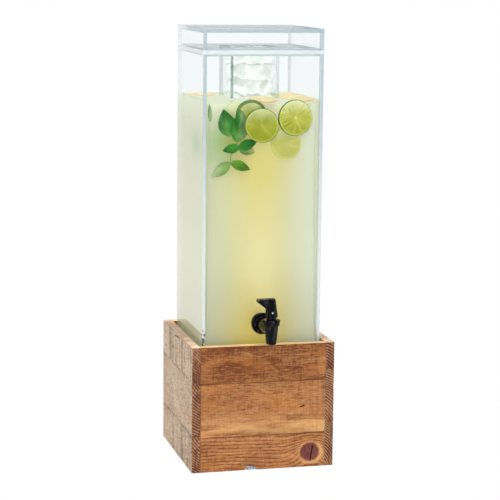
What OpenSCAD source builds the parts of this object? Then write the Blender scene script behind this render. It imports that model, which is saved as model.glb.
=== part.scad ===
// Beverage dispenser: a square clear tank with a hanging ice chamber and a tray lid,
// standing in a crate of reclaimed boards, with a lever tap low on its front panel.
// The origin is the centre of the crate's underside, +X to the right, -Y to the front, +Z up.

/* [Crate] */
// Gap between the tank and the left and right boards
side_gap = 5; // [3:0.5:25]
// Gap between the tank and the front and back boards
front_gap = 5; // [3:0.5:25]
// Height of the crate
crate_h = 183; // [170:1:220]
// Thickness of a crate board
board_t = 12.5; // [10:0.5:14]
// Ease cut along the long edges of a board
board_ease = 0.9; // [0.3:0.1:2]
// Height of the lowest front board
front_bottom_h = 51; // [40:1:60]
// Height of the middle front board
front_middle_h = 78; // [65:1:90]
// Height of the lowest back board
back_bottom_h = 60; // [40:1:66]
// Height of the middle back board
back_middle_h = 74; // [65:1:90]
// Height of the lowest left board
left_bottom_h = 54; // [40:1:60]
// Height of the middle left board
left_middle_h = 79; // [65:1:90]
// Height of the lowest right board
right_bottom_h = 64; // [40:1:66]
// Height of the middle right board
right_middle_h = 81; // [65:1:90]

/* [Shelf] */
// Depth of the tank below the crate's rim
tank_sink = 23; // [18:1:40]
// Thickness of the shelf board
shelf_t = 12; // [9:0.5:18]
// Gap between the shelf and the crate's boards
shelf_clear = 0.4; // [0.2:0.1:1]
// Width of a cleat under the shelf
cleat_w = 18; // [12:1:30]
// Height of a cleat under the shelf
cleat_h = 26; // [18:1:40]

/* [Tank] */
// Outside width and depth of the tank
tank_w = 175; // [150:1:220]
// Height of the tank
tank_h = 435; // [400:1:480]
// Thickness of a tank panel
panel_t = 5; // [4:0.25:6]

/* [Ice chamber] */
// Thickness of the flange plate that lies on the tank's rim
flange_t = 6; // [4:0.5:8]
// Height of the locating steps above and below the flange plate
step_h = 2.5; // [1.5:0.25:4]
// Side clearance of the locating steps
step_clear = 0.6; // [0.3:0.1:1.2]
// Outside width of the square chamber
chamber_w = 72; // [60:1:90]
// Thickness of a chamber wall
chamber_t = 4; // [3:0.25:5]
// Space between the tank's floor and the chamber's underside
chamber_rise = 95; // [80:1:140]

/* [Lid] */
// Height of the lid
lid_h = 30; // [22:1:45]
// Thickness of the lid's top plate
lid_top_t = 5.5; // [4:0.25:8]
// Thickness of the lid's skirt
lid_wall_t = 5; // [4:0.25:7]

/* [Tap] */
// Height of the tap's shank above the crate's rim
tap_rise = 29; // [26:1:40]
// Distance from the tank's front to the spout's axis
tap_reach = 57; // [52:1:70]
// Diameter of the shank through the panel
shank_d = 16; // [14:0.5:18]
// Radial clearance of the shank in the panel, washers and nut
shank_clear = 0.3; // [0.1:0.1:0.6]
// Diameter of the flow bore along the shank
flow_d = 9; // [7:0.5:10]
// Diameter of the wall disc
disc_d = 31; // [28:0.5:36]
// Thickness of the wall disc
disc_t = 4.5; // [3.5:0.25:6]
// Diameter of the washers on both sides of the panel
washer_d = 27; // [25:0.5:28]
// Thickness of a washer
washer_t = 2.5; // [1.5:0.25:4]
// Width of the lock nut across its flats
nut_af = 24; // [22:0.5:26]
// Thickness of the lock nut
nut_t = 8; // [6:0.5:12]
// Length of shank past the lock nut
shank_tail = 4; // [2:0.5:10]
// Diameter of the neck at the disc
neck_root_d = 20; // [18:0.5:22]
// Gap between the neck and the bonnet's lower edge
neck_gap = 0.5; // [0.3:0.1:1.5]

/* [Spout] */
// Drop of the spout's mouth below the shank's axis
spout_drop = 19; // [16:0.5:30]
// Outside diameter of the spout at its mouth
spout_tip_d = 14.2; // [13:0.2:16]
// Outside diameter of the spout under the bonnet
spout_top_d = 20; // [19:0.2:22]
// Diameter of the outlet bore
outlet_d = 9.2; // [8:0.2:10]
// Drop of the valve seat below the shank's axis
seat_drop = 8; // [6:0.5:10]
// Diameter of the bowl above the valve seat
bowl_d = 13.4; // [12:0.2:14]

/* [Bonnet] */
// Height of the bonnet's lower edge above the shank's axis
bonnet_z = 8; // [7.8:0.1:12]
// Height of the bonnet
bonnet_h = 8; // [7:0.25:12]
// Diameter of the bonnet at its flared top
bonnet_top_d = 25.6; // [24.6:0.2:28]
// Diameter of the bonnet at its lower edge
bonnet_low_d = 23; // [22.4:0.2:24.4]
// Thickness of the bonnet's cap
bonnet_cap_t = 2.4; // [2:0.2:3.2]
// Number of finger scallops around the bonnet
scallops = 14; // [8:1:20]
// Depth of a finger scallop
scallop_depth = 0.7; // [0.3:0.1:1]
// Diameter of the boss that the lever works on
boss_d = 14; // [13.6:0.2:16]
// Height of the boss
boss_h = 4; // [2:0.25:6]

/* [Valve] */
// Diameter of the valve stem
stem_d = 7; // [6:0.2:7.6]
// Radial clearance of the stem in the bonnet
stem_clear = 0.3; // [0.2:0.05:0.5]
// Diameter of the seat cup's sealing foot
cup_d = 11.8; // [11:0.2:12.4]
// Gap under the seat cup in its closed place
seat_gap = 0.1; // [0.05:0.05:0.3]
// Radial running clearance of the stem in the seat cup
swivel_fit = 0.05; // [0.02:0.01:0.1]

/* [Lever] */
// Height of the pivot pin above the boss
pin_rise = 6.3; // [5.5:0.1:9]
// Diameter of the pivot pin
pin_d = 2.6; // [2:0.1:3]
// Radial running clearance of the pin in the lever
pin_fit = 0.05; // [0.02:0.01:0.1]
// Lever tilt that opens the tap fully
tilt_max = 45; // [30:1:60]
// Lift of the stem at full tilt
valve_lift = 2.4; // [1.6:0.1:3]
// Gap between the lever's heel and the boss
cam_gap = 0.3; // [0.1:0.05:0.5]
// Thickness of the stem's tongue in the lever's fork
tongue_t = 4.4; // [3:0.1:5]
// Thickness of a cheek of the fork
cheek_t = 3.6; // [2.5:0.1:5]
// Side clearance between tongue and cheek
fork_clear = 0.3; // [0.15:0.05:0.5]
// Height of the paddle's top above the pin
paddle_top = 20; // [16:0.5:28]
// Overhang of the paddle from the pin
paddle_reach = 20.7; // [14:0.1:26]
// Thickness of the paddle's tip
paddle_tip = 4.3; // [3:0.1:6]

/* [Hidden] */
$fn = 96;
eps = 0.01;
arc_step = 15;

rows = ["bottom", "middle", "top"];
sides = ["front", "back", "left", "right"];
function board_name(wall, row) = str(wall, "_board_", rows[row]);
function panel_name(group, side) = str(group, "_", side);

// Outside of the crate, which goes round the tank
crate_w = tank_w + 2 * (side_gap + board_t);
crate_d = tank_w + 2 * (front_gap + board_t);

// Crate heights, from the floor up
shelf_top = crate_h - tank_sink;
cleat_top = shelf_top - shelf_t;

// Row heights of one crate wall, the top board taking what is left of the height
function bottom_h(wall) =
    wall == "front" ? front_bottom_h :
    wall == "back" ? back_bottom_h :
    wall == "left" ? left_bottom_h : right_bottom_h;
function middle_h(wall) =
    wall == "front" ? front_middle_h :
    wall == "back" ? back_middle_h :
    wall == "left" ? left_middle_h : right_middle_h;
function row_z(wall, row) = row == 0 ? 0 : row == 1 ? bottom_h(wall) : bottom_h(wall) + middle_h(wall);
function row_h(wall, row) =
    row == 0 ? bottom_h(wall) :
    row == 1 ? middle_h(wall) : crate_h - row_z(wall, 2);

// Tank, chamber and lid heights
tank_z = shelf_top;
rim_z = tank_z + tank_h;
tank_in = tank_w - 2 * panel_t;
flange_top = rim_z + flange_t;
chamber_top = flange_top + step_h;
chamber_in = chamber_w - 2 * chamber_t;
chamber_z = tank_z + panel_t + chamber_rise;
chamber_h = chamber_top - chamber_z;
lid_in = tank_w - 2 * lid_wall_t;
lid_skirt_h = lid_h - lid_top_t;

// Tap heights are measured from the shank's axis, tap distances from the tank's front
tap_z = crate_h + tap_rise;
tap_y = -tank_w / 2;
disc_rim = 1.6;
cove_r = 2;
shank_in = panel_t + washer_t + nut_t + shank_tail;
shank_chamfer = 0.8;
spout_lip = 0.8;
neck_tip_r = bonnet_z - neck_gap;
neck_tip_y = tap_reach - bonnet_top_d / 2 - neck_gap;
thread_clear = 0.15;
thread_step = 1.2;
thread_neck_d = spout_top_d - 2 * thread_step;
neck_top_gap = 0.3;
bonnet_top = bonnet_z + bonnet_h;
thread_neck_top = bonnet_top - bonnet_cap_t - neck_top_gap;
bonnet_rim = 0.8;
boss_top = bonnet_top + boss_h;
boss_chamfer = 0.6;
scallop_r = 3;
nut_chamfer = 1;

// Seat cup levels, from its foot on the valve seat up
cup_foot_z = -seat_drop + seat_gap;
cup_foot_h = 2.6;
cup_wall = 1.3;
cup_waist_d = stem_d + 2 * cup_wall;
cup_h = 14;
cup_taper_h = 2;
cup_floor = 4;
stem_end_gap = 0.2;

// Lever outline, measured from the pin
pin_z = boss_top + pin_rise;
lever_t = tongue_t + 2 * (fork_clear + cheek_t);
pin_inset = 0.2;
stem_seat_fit = 0.02;
tongue_clear = 0.6;
slot_top = stem_d / 2 + tongue_clear;
neck_left = 6.9;
neck_left_z = stem_d / 2;
throat_left = 9.3;
throat_rise = 3;
heel_right = 7.3;
heel_right_z = -stem_d / 2 + tongue_clear;
top_right = 4;
top_slope = 0.8;
paddle_round = 2;
cam_steps = 12;

// A heel with support h0 + k * tilt keeps one contact line on the boss while the stem rises
cam_h0 = pin_rise - cam_gap;
cam_k = valve_lift / (tilt_max * PI / 180);
function cam_h(tilt) = cam_h0 + valve_lift * tilt / tilt_max;
function cam_point(tilt) = [
    -cam_h(tilt) * sin(tilt) - cam_k * cos(tilt),
    -cam_h(tilt) * cos(tilt) + cam_k * sin(tilt)
];

// Colours
front_wood = [0.66, 0.43, 0.26];
side_wood = [0.72, 0.60, 0.48];
inner_wood = [0.80, 0.66, 0.47];
acrylic = [0.80, 0.88, 0.90, 0.35];
black_plastic = [0.05, 0.05, 0.06];
black_rubber = [0.09, 0.09, 0.09];
silicone = [0.85, 0.84, 0.80];
steel = [0.78, 0.78, 0.80];

// Rectangle with eased corners, from x = -w/2 to w/2 and y = 0 to h
module eased_rectangle(w, h, ease) {
    polygon([
        [-w / 2 + ease, 0], [w / 2 - ease, 0],
        [w / 2, ease], [w / 2, h - ease],
        [w / 2 - ease, h], [-w / 2 + ease, h],
        [-w / 2, h - ease], [-w / 2, ease]
    ]);
}

// Sawn board lying along X, centred on X and Y, standing on z = 0
module board(length, height) {
    rotate([90, 0, 90])
        translate([0, 0, -length / 2])
            linear_extrude(length)
                eased_rectangle(board_t, height, board_ease);
}

// Plate centred on X and Y, standing on z = 0
module plate(w, d, h) {
    translate([-w / 2, -d / 2, 0])
        cube([w, d, h]);
}

// One of four walls round a square: left and right run the full depth, front and back sit between
module square_wall(side, outer, t, h) {
    shift = (outer - t) / 2;
    if (side == "front") translate([0, -shift, 0]) plate(outer - 2 * t, t, h);
    if (side == "back") translate([0, shift, 0]) plate(outer - 2 * t, t, h);
    if (side == "left") translate([-shift, 0, 0]) plate(t, outer, h);
    if (side == "right") translate([shift, 0, 0]) plate(t, outer, h);
}

// Flat ring on z = 0
module ring(outer_d, inner_d, h) {
    difference() {
        cylinder(d = outer_d, h = h);
        translate([0, 0, -eps])
            cylinder(d = inner_d, h = h + 2 * eps);
    }
}

// Tap pieces round the shank: z runs outwards from the tank's front
module on_shank() {
    translate([0, tap_y, tap_z])
        rotate([90, 0, 0])
            children();
}

// Tap pieces round the upright spout axis: z runs up from the shank's axis
module on_spout() {
    translate([0, tap_y - tap_reach, tap_z])
        children();
}

// Crate

module crate_board(wall, row) {
    across = wall == "front" || wall == "back";
    sign = wall == "front" || wall == "left" ? -1 : 1;
    color(across ? front_wood : side_wood)
        if (across)
            translate([0, sign * (crate_d - board_t) / 2, row_z(wall, row)])
                board(crate_w - 2 * board_t, row_h(wall, row));
        else
            translate([sign * (crate_w - board_t) / 2, 0, row_z(wall, row)])
                rotate([0, 0, 90])
                    board(crate_d, row_h(wall, row));
}

module shelf() {
    loss = 2 * (board_t + shelf_clear);
    color(inner_wood)
        translate([0, 0, cleat_top])
            plate(crate_w - loss, crate_d - loss, shelf_t);
}

module cleat(sign) {
    color(inner_wood)
        translate([sign * (crate_w / 2 - board_t - cleat_w / 2), 0, cleat_top - cleat_h])
            plate(cleat_w, crate_d - 2 * board_t, cleat_h);
}

// Tank

module tank_panel(side) {
    color(acrylic)
        difference() {
            translate([0, 0, tank_z])
                square_wall(side, tank_w, panel_t, tank_h);
            if (side == "front")
                on_shank()
                    translate([0, 0, -2 * panel_t])
                        cylinder(d = shank_d + 2 * shank_clear, h = 3 * panel_t);
        }
}

module tank_floor() {
    color(acrylic)
        translate([0, 0, tank_z])
            plate(tank_in, tank_in, panel_t);
}

// Ice chamber

module chamber_flange() {
    tank_step = tank_in - 2 * step_clear;
    lid_step = lid_in - 2 * step_clear;
    color(acrylic)
        difference() {
            union() {
                translate([0, 0, rim_z])
                    plate(tank_w, tank_w, flange_t);
                translate([0, 0, rim_z - step_h])
                    plate(tank_step, tank_step, flange_t);
                translate([0, 0, rim_z + step_h])
                    plate(lid_step, lid_step, flange_t);
            }
            translate([0, 0, rim_z - 2 * step_h])
                plate(chamber_w, chamber_w, flange_t + 4 * step_h);
        }
}

module chamber_wall(side) {
    color(acrylic)
        translate([0, 0, chamber_z])
            square_wall(side, chamber_w, chamber_t, chamber_h);
}

module chamber_floor() {
    color(acrylic)
        translate([0, 0, chamber_z])
            plate(chamber_in, chamber_in, chamber_t);
}

// Lid

module lid_top() {
    color(acrylic)
        translate([0, 0, flange_top + lid_skirt_h])
            plate(tank_w, tank_w, lid_top_t);
}

module lid_wall(side) {
    color(acrylic)
        translate([0, 0, flange_top])
            square_wall(side, tank_w, lid_wall_t, lid_skirt_h);
}

// Tap

// Half section of the shank, wall disc and neck: radius across, distance from the tank's front up
module shank_section() {
    disc_front = washer_t + disc_t;
    neck_root = disc_front + cove_r;
    polygon(concat(
        [[0, -shank_in], [shank_d / 2 - shank_chamfer, -shank_in]],
        [[shank_d / 2, shank_chamfer - shank_in], [shank_d / 2, washer_t], [disc_d / 2, washer_t]],
        [for (a = [0 : arc_step : 90])
            [disc_d / 2 - disc_rim * (1 - cos(a)), disc_front - disc_rim * (1 - sin(a))]],
        [for (a = [0 : arc_step : 90])
            [neck_root_d / 2 + cove_r * (1 - sin(a)), neck_root - cove_r * cos(a)]],
        [[neck_tip_r, neck_tip_y], [neck_tip_r, tap_reach], [0, tap_reach]]
    ));
}

// Half section of the upright spout, with the neck that the bonnet screws on
module spout_section() {
    polygon([
        [0, -spout_drop],
        [spout_tip_d / 2 - spout_lip, -spout_drop],
        [spout_tip_d / 2, spout_lip - spout_drop],
        [spout_top_d / 2, bonnet_z],
        [thread_neck_d / 2, bonnet_z],
        [thread_neck_d / 2, thread_neck_top],
        [0, thread_neck_top]
    ]);
}

module tap_body() {
    color(black_plastic)
        difference() {
            union() {
                on_shank()
                    rotate_extrude()
                        shank_section();
                on_spout()
                    rotate_extrude()
                        spout_section();
            }
            on_shank()
                translate([0, 0, -shank_in - eps])
                    cylinder(d = flow_d, h = shank_in + tap_reach);
            on_spout()
                translate([0, 0, -seat_drop])
                    cylinder(d = bowl_d, h = thread_neck_top + seat_drop + eps);
            on_spout()
                translate([0, 0, -spout_drop - eps])
                    cylinder(d = outlet_d, h = spout_drop);
        }
}

module outer_washer() {
    color(black_rubber)
        on_shank()
            ring(washer_d, shank_d + 2 * shank_clear, washer_t);
}

module inner_washer() {
    color(black_rubber)
        on_shank()
            translate([0, 0, -panel_t - washer_t])
                ring(washer_d, shank_d + 2 * shank_clear, washer_t);
}

module lock_nut() {
    corner_d = nut_af / cos(30);
    color(black_plastic)
        on_shank()
            translate([0, 0, -panel_t - washer_t - nut_t])
                difference() {
                    intersection() {
                        cylinder(d = corner_d, h = nut_t, $fn = 6);
                        union() {
                            cylinder(d1 = corner_d - 2 * nut_chamfer, d2 = corner_d, h = nut_chamfer);
                            translate([0, 0, nut_chamfer])
                                cylinder(d = corner_d, h = nut_t - nut_chamfer);
                        }
                    }
                    translate([0, 0, -eps])
                        cylinder(d = shank_d + 2 * shank_clear, h = nut_t + 2 * eps);
                }
}

// Half section of the bonnet: a flared cap with a raised boss round the stem
module bonnet_section() {
    bore = stem_d / 2 + stem_clear;
    skirt = thread_neck_d / 2 + thread_clear;
    polygon([
        [skirt, bonnet_z],
        [bonnet_low_d / 2, bonnet_z],
        [bonnet_top_d / 2, bonnet_top - bonnet_rim],
        [bonnet_top_d / 2 - bonnet_rim, bonnet_top],
        [boss_d / 2, bonnet_top],
        [boss_d / 2, boss_top - boss_chamfer],
        [boss_d / 2 - boss_chamfer, boss_top],
        [bore, boss_top],
        [bore, bonnet_top - bonnet_cap_t],
        [skirt, bonnet_top - bonnet_cap_t]
    ]);
}

module bonnet() {
    color(black_plastic)
        on_spout()
            difference() {
                rotate_extrude()
                    bonnet_section();
                for (i = [0 : scallops - 1])
                    rotate([0, 0, i * 360 / scallops])
                        translate([bonnet_top_d / 2 + scallop_r - scallop_depth, 0, bonnet_z - eps])
                            cylinder(r = scallop_r, h = bonnet_h + 2 * eps, $fn = 32);
            }
}

// Soft cup that closes the outlet, with a waist and a flared upper lip
module seat_cup() {
    lip_z = cup_foot_z + cup_h;
    color(silicone)
        on_spout()
            rotate_extrude()
                polygon([
                    [0, cup_foot_z],
                    [cup_d / 2, cup_foot_z],
                    [cup_d / 2, cup_foot_z + cup_foot_h],
                    [cup_waist_d / 2, cup_foot_z + cup_foot_h + cup_taper_h],
                    [cup_waist_d / 2, lip_z - cup_taper_h],
                    [cup_d / 2, lip_z],
                    [stem_d / 2 + swivel_fit, lip_z],
                    [stem_d / 2 + swivel_fit, cup_foot_z + cup_floor],
                    [0, cup_foot_z + cup_floor]
                ]);
}

// Round stem whose upper end is a flat tongue for the lever's fork
module valve_stem() {
    foot = cup_foot_z + cup_floor + stem_end_gap;
    shoulder = boss_top - valve_lift - cam_gap;
    color(black_plastic)
        on_spout()
            difference() {
                union() {
                    translate([0, 0, foot])
                        cylinder(d = stem_d, h = shoulder - foot);
                    intersection() {
                        translate([0, 0, shoulder - eps])
                            cylinder(d = stem_d, h = pin_z - shoulder + stem_d);
                        union() {
                            translate([-stem_d, -tongue_t / 2, shoulder - eps])
                                cube([2 * stem_d, tongue_t, pin_z - shoulder + eps]);
                            translate([0, tongue_t / 2, pin_z])
                                rotate([90, 0, 0])
                                    cylinder(d = stem_d, h = tongue_t);
                        }
                    }
                }
                translate([0, tongue_t, pin_z])
                    rotate([90, 0, 0])
                        cylinder(d = pin_d + 2 * stem_seat_fit, h = 2 * tongue_t);
            }
}

module pivot_pin() {
    length = lever_t - 2 * pin_inset;
    color(steel)
        on_spout()
            translate([0, length / 2, pin_z])
                rotate([90, 0, 0])
                    cylinder(d = pin_d, h = length);
}

// Outline of the lever seen from the front: cam heel below, paddle above
module lever_outline() {
    polygon(concat(
        [[heel_right, -cam_h0]],
        [for (i = [0 : cam_steps]) cam_point(tilt_max * i / cam_steps)],
        [[-neck_left, neck_left_z], [-throat_left, neck_left_z + throat_rise]],
        [[-paddle_reach, paddle_top - top_slope - paddle_tip], [-paddle_reach, paddle_top - top_slope]],
        [[top_right, paddle_top], [heel_right, heel_right_z]]
    ));
}

// Outline of the lever seen from the side, with a rounded upper edge
module lever_edge() {
    half = lever_t / 2;
    crown = paddle_top - paddle_round;
    polygon(concat(
        [[-half, -2 * pin_rise], [half, -2 * pin_rise]],
        [for (a = [0 : arc_step : 90])
            [half - paddle_round * (1 - cos(a)), crown + paddle_round * sin(a)]],
        [for (a = [90 : -arc_step : 0])
            [-half + paddle_round * (1 - cos(a)), crown + paddle_round * sin(a)]]
    ));
}

module lever() {
    slot = tongue_t + 2 * fork_clear;
    reach = paddle_reach + heel_right;
    color(black_plastic)
        on_spout()
            translate([0, 0, pin_z])
                difference() {
                    intersection() {
                        translate([0, lever_t / 2, 0])
                            rotate([90, 0, 0])
                                linear_extrude(lever_t)
                                    lever_outline();
                        translate([-reach, 0, 0])
                            rotate([90, 0, 90])
                                linear_extrude(2 * reach)
                                    lever_edge();
                    }
                    translate([-reach, -slot / 2, slot_top - reach])
                        cube([2 * reach, slot, reach]);
                    translate([0, lever_t, 0])
                        rotate([90, 0, 0])
                            cylinder(d = pin_d + 2 * pin_fit, h = 2 * lever_t);
                }
}

for (wall = sides, row = [0 : 2])
    crate_board(wall, row);
shelf();
cleat(-1);  // cleat_left
cleat(1);  // cleat_right
for (side = sides)
    tank_panel(side);
tank_floor();
chamber_flange();
for (side = sides)
    chamber_wall(side);
chamber_floor();
lid_top();
for (side = sides)
    lid_wall(side);
tap_body();
outer_washer();
inner_washer();
lock_nut();
bonnet();
seat_cup();
valve_stem();
pivot_pin();
lever();
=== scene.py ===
"""Looks of a beverage dispenser: its boards, clear sheets, tap, drink, fruit, mint and ice."""

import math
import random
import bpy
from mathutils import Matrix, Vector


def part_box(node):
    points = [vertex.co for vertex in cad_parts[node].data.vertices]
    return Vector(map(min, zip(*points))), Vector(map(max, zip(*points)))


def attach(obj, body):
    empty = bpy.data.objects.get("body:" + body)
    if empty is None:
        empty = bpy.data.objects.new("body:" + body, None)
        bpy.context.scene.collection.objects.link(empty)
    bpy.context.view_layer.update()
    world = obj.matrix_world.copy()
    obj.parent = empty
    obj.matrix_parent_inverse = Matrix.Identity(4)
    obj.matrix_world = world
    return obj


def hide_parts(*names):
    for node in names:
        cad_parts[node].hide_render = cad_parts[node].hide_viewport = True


bl_info = {
    "name": "Beverage Dispenser Looks",
    "version": (1, 0, 0),
    "blender": (4, 5, 0),
    "location": "3D View > Sidebar > Dispenser",
    "description": "Dresses the solids of a crate-based dispenser, and fills it",
    "category": "Object",
}

from typing import NamedTuple

import bmesh
import bpy
import numpy as np
from bpy.props import FloatProperty, FloatVectorProperty, IntProperty, PointerProperty
from mathutils import Matrix, Vector, noise

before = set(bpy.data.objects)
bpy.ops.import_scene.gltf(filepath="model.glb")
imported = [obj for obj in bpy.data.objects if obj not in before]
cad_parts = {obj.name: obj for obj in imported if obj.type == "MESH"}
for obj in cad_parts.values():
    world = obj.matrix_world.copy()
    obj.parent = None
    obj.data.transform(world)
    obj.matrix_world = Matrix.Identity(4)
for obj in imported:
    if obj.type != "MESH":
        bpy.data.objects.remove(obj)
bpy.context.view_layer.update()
MM = 0.001
BLACK = (0, 0, 0)
WHITE = (1, 1, 1, 1)

# Camera of the photograph, worked out for a square frame
CAMERA_PLACE = Vector((-0.618, -2.486, 0.714))
CAMERA_YAW = math.radians(14.05)
CAMERA_PITCH = math.radians(9.09)
CAMERA_ROLL = math.radians(0.55)
FRAME_PIXELS = 500
FOCAL_PIXELS = 1760
SENSOR_WIDTH = 36.0


def linear(red, green, blue):
    """Linear colour of an 8-bit display colour."""
    channels = []
    for level in (red, green, blue):
        share = level / 255
        channels.append(share / 12.92 if share <= 0.04045 else ((share + 0.055) / 1.055) ** 2.4)
    return tuple(channels)


def rgba(colour):
    """A colour with the full alpha that colour sockets take."""
    return (*colour[:3], 1.0)


def colour_setting(name, description, *display):
    """A colour that a user can set, from its 8-bit display levels."""
    return FloatVectorProperty(
        name=name, description=description, subtype="COLOR", size=3, min=0, max=1, default=linear(*display)
    )


def length_setting(name, description, millimetres):
    """A length that a user can set."""
    return FloatProperty(name=name, description=description, unit="LENGTH", min=0, default=millimetres * MM)


def power_setting(name, description, watts):
    """The power of a light, which a user can set."""
    return FloatProperty(name=name, description=description, unit="POWER", min=0, default=watts)


class CrateSettings(bpy.types.PropertyGroup):
    """Sizes and colours of the crate"""

    front_light: colour_setting("Front wood, light", "Light wood of front and back", 198, 139, 88)
    front_dark: colour_setting("Front wood, dark", "Dark wood of front and back", 116, 62, 34)
    front_amber: colour_setting("Front wood, amber", "Golden patches of front and back", 196, 128, 66)
    side_light: colour_setting("Side wood, light", "Light wood of the sides", 206, 184, 160)
    side_dark: colour_setting("Side wood, dark", "Dark wood of the sides", 146, 114, 90)
    side_amber: colour_setting("Side wood, amber", "Golden patches of the sides", 186, 150, 108)
    side_fleck: colour_setting("Side wood, flecks", "Pale flecks of the sides", 238, 226, 212)
    sapwood: colour_setting("Sapwood", "Pale flecks and streaks of front and back", 226, 176, 116)
    inner_light: colour_setting("Inner wood, light", "Light wood of shelf and cleats", 226, 196, 148)
    inner_dark: colour_setting("Inner wood, dark", "Dark wood of shelf and cleats", 190, 150, 100)
    end_light: colour_setting("End grain, light", "Pale rings on the sawn ends of the boards", 176, 132, 98)
    end_dark: colour_setting("End grain, dark", "Dark wood on the sawn ends of the boards", 92, 50, 34)
    # Saw kerf colour: darker wood in the saw marks, along the seams and in the slots
    kerf: colour_setting("Saw kerf", "Dirt in the saw marks, seams and slots", 70, 44, 30)
    # Rim colours: paler fresh wood that also holds painted light from above; they colour the rim's painted
    # glow too
    fresh_and_lit: colour_setting("Fresh edge", "Paler wood on the rim of front and back", 255, 214, 152)
    fresh_and_lit_side: colour_setting("Fresh side edge", "Paler wood on the rim of the sides", 248, 216, 186)
    knot_light: colour_setting("Knot, light", "Light wood of the knot", 128, 74, 68)
    knot_dark: colour_setting("Knot, dark", "Dark spokes of the knot", 74, 37, 40)
    knot_halo: colour_setting("Knot halo", "Pale wood round the knot", 222, 170, 116)
    knot_ring: colour_setting("Knot ring", "Dark ring that bounds the knot", 122, 66, 44)
    crack: colour_setting("Crack", "Crack that runs through the knot", 48, 26, 22)
    ease: length_setting("Edge ease", "Least rounding of a board's edges", 0.5)
    wear: length_setting("Edge wear", "Most rounding that wear adds to a board's edges", 1.3)
    rough: length_setting("Sawn relief", "Depth of the rough-sawn relief", 0.22)


class AcrylicSettings(bpy.types.PropertyGroup):
    """Sizes and colours of the clear sheets"""

    tint: colour_setting("Sheet tint", "Colour that light keeps after one surface of a sheet", 253, 254, 254)
    edge_high: colour_setting("High edges", "Blue-grey polished edges of lid and tank rim", 160, 180, 187)
    edge_flange: colour_setting("Flange edges", "Bright edges of the ice chamber's flange", 208, 218, 219)
    # Painted light: edges at the back take this paler colour, as if lit by the bright backdrop
    lit_far_edge: colour_setting("Far edges", "Pale polished edges at the back", 228, 235, 238)
    edge_low: colour_setting("Low edges", "Paler polished edges lower down the tank", 212, 220, 222)
    # Painted reflection: dark things mirrored on the ice chamber's front left corner edge
    chamber_reflection: colour_setting("Chamber marks", "Dark marks on the chamber's front corner", 58, 76, 70)
    # Painted reflection: the crate mirrored dark on the tank's front left corner edge
    crate_reflection: colour_setting("Crate marks", "Dark marks on the tank's front corner", 26, 24, 24)
    polish: length_setting("Polished corner", "Rounding of a sheet's polished corners", 0.5)
    seam: length_setting("Seam", "Half of the bond line between two sheets", 0.05)


class DrinkSettings(bpy.types.PropertyGroup):
    """Level and colours of the drink"""

    level: length_setting("Level", "Height of the drink's surface above the ground", 530)
    film: length_setting("Film", "Gap between the drink and the tank's walls", 0.5)
    # Painted light and shade: the drink is yellower in the middle, paler along its corners and sides, darker
    # low down and in the leaves' shade, brighter to the right, at half height and at its surface
    middle: colour_setting("Middle", "Drink at the middle of the front", 225, 215, 150)
    rim: colour_setting("Rim", "Drink along the corners and sides", 208, 211, 179)
    low: colour_setting("Low", "Drink at the middle, low down", 212, 189, 90)
    low_rim: colour_setting("Low rim", "Drink along the corners, low down", 187, 188, 156)
    lobe: colour_setting("Lobe", "Brightest drink, at half height", 252, 246, 204)
    surface: colour_setting("Surface", "Drink at its surface", 229, 236, 208)
    bright: colour_setting("Bright", "Drink towards the right corner", 240, 243, 232)
    shade: colour_setting("Shade", "Drink in the shade of the leaves", 166, 176, 84)
    mint: colour_setting("Mint", "Drink round the mint", 156, 191, 134)
    # Painted shade: a darker, deeper yellow under the fruit
    glow: colour_setting("Glow", "Deepest yellow, under the fruit", 216, 202, 96)


class GarnishSettings(bpy.types.PropertyGroup):
    """Sizes and colours of fruit and mint"""

    lime_cut: length_setting("Lime thickness", "Thickness of a lime slice", 4)
    lemon_cut: length_setting("Lemon thickness", "Thickness of a lemon slice", 2.4)
    lime_pulp: colour_setting("Lime pulp", "Flesh of a lime slice", 138, 146, 10)
    lime_pale: colour_setting("Lime fibres", "Pale fibres in the flesh of a lime slice", 204, 200, 92)
    lime_rind: colour_setting("Lime rind", "Peel of a lime slice", 52, 98, 16)
    lime_pith: colour_setting("Lime pith", "Layer under the peel of a lime slice", 190, 198, 96)
    lemon_pulp: colour_setting("Lemon pulp", "Flesh of a lemon slice", 234, 214, 146)
    lemon_pale: colour_setting("Lemon fibres", "Pith and pale fibres of a lemon slice", 240, 228, 186)
    lemon_rind: colour_setting("Lemon rind", "Peel of a lemon slice", 236, 200, 128)
    membrane: colour_setting("Membrane", "Walls between the segments of a slice", 222, 226, 150)
    star: colour_setting("Star", "Pale core of a slice", 232, 236, 190)
    leaf_light: colour_setting("Leaf, light", "Raised parts of a mint leaf", 58, 150, 40)
    leaf_warm: colour_setting("Leaf, warm", "Raised parts of the lower mint leaves", 112, 166, 36)
    leaf_dark: colour_setting("Leaf, dark", "Sunk parts of a mint leaf", 10, 80, 26)
    stem: colour_setting("Stem", "Stem of a mint sprig", 140, 176, 92)


class IceSettings(bpy.types.PropertyGroup):
    """Sizes and colours of the ice"""

    cube: length_setting("Cube", "Edge of an ice cube", 22)
    clear: colour_setting("Clear ice", "Clear parts of the ice", 222, 228, 221)
    white: colour_setting("White ice", "Air-filled parts of the ice", 243, 246, 242)
    crack: colour_setting("Cracks", "Cracks in the ice", 196, 212, 212)
    seed: IntProperty(name="Seed", description="Start of the random places of the cubes", default=11, min=0)


class TapSettings(bpy.types.PropertyGroup):
    """Colours of the tap"""

    plastic: colour_setting("Plastic", "Moulded black plastic", 3, 4, 6)
    finger_marks: colour_setting("Finger marks", "Paler touched parts of the plastic", 16, 16, 20)
    rubber: colour_setting("Rubber", "Washers", 26, 26, 26)
    silicone: colour_setting("Silicone", "Seat cup", 222, 220, 208)
    dust: colour_setting("Dust", "Grain of washers and seat cup", 70, 70, 68)
    steel: colour_setting("Steel", "Pivot pin and glide", 205, 206, 208)
    scratch: colour_setting("Scratches", "Scratches in the steel", 150, 152, 156)
    worn: colour_setting("Worn steel", "Dark worn spots of the glide", 52, 56, 64)


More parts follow.
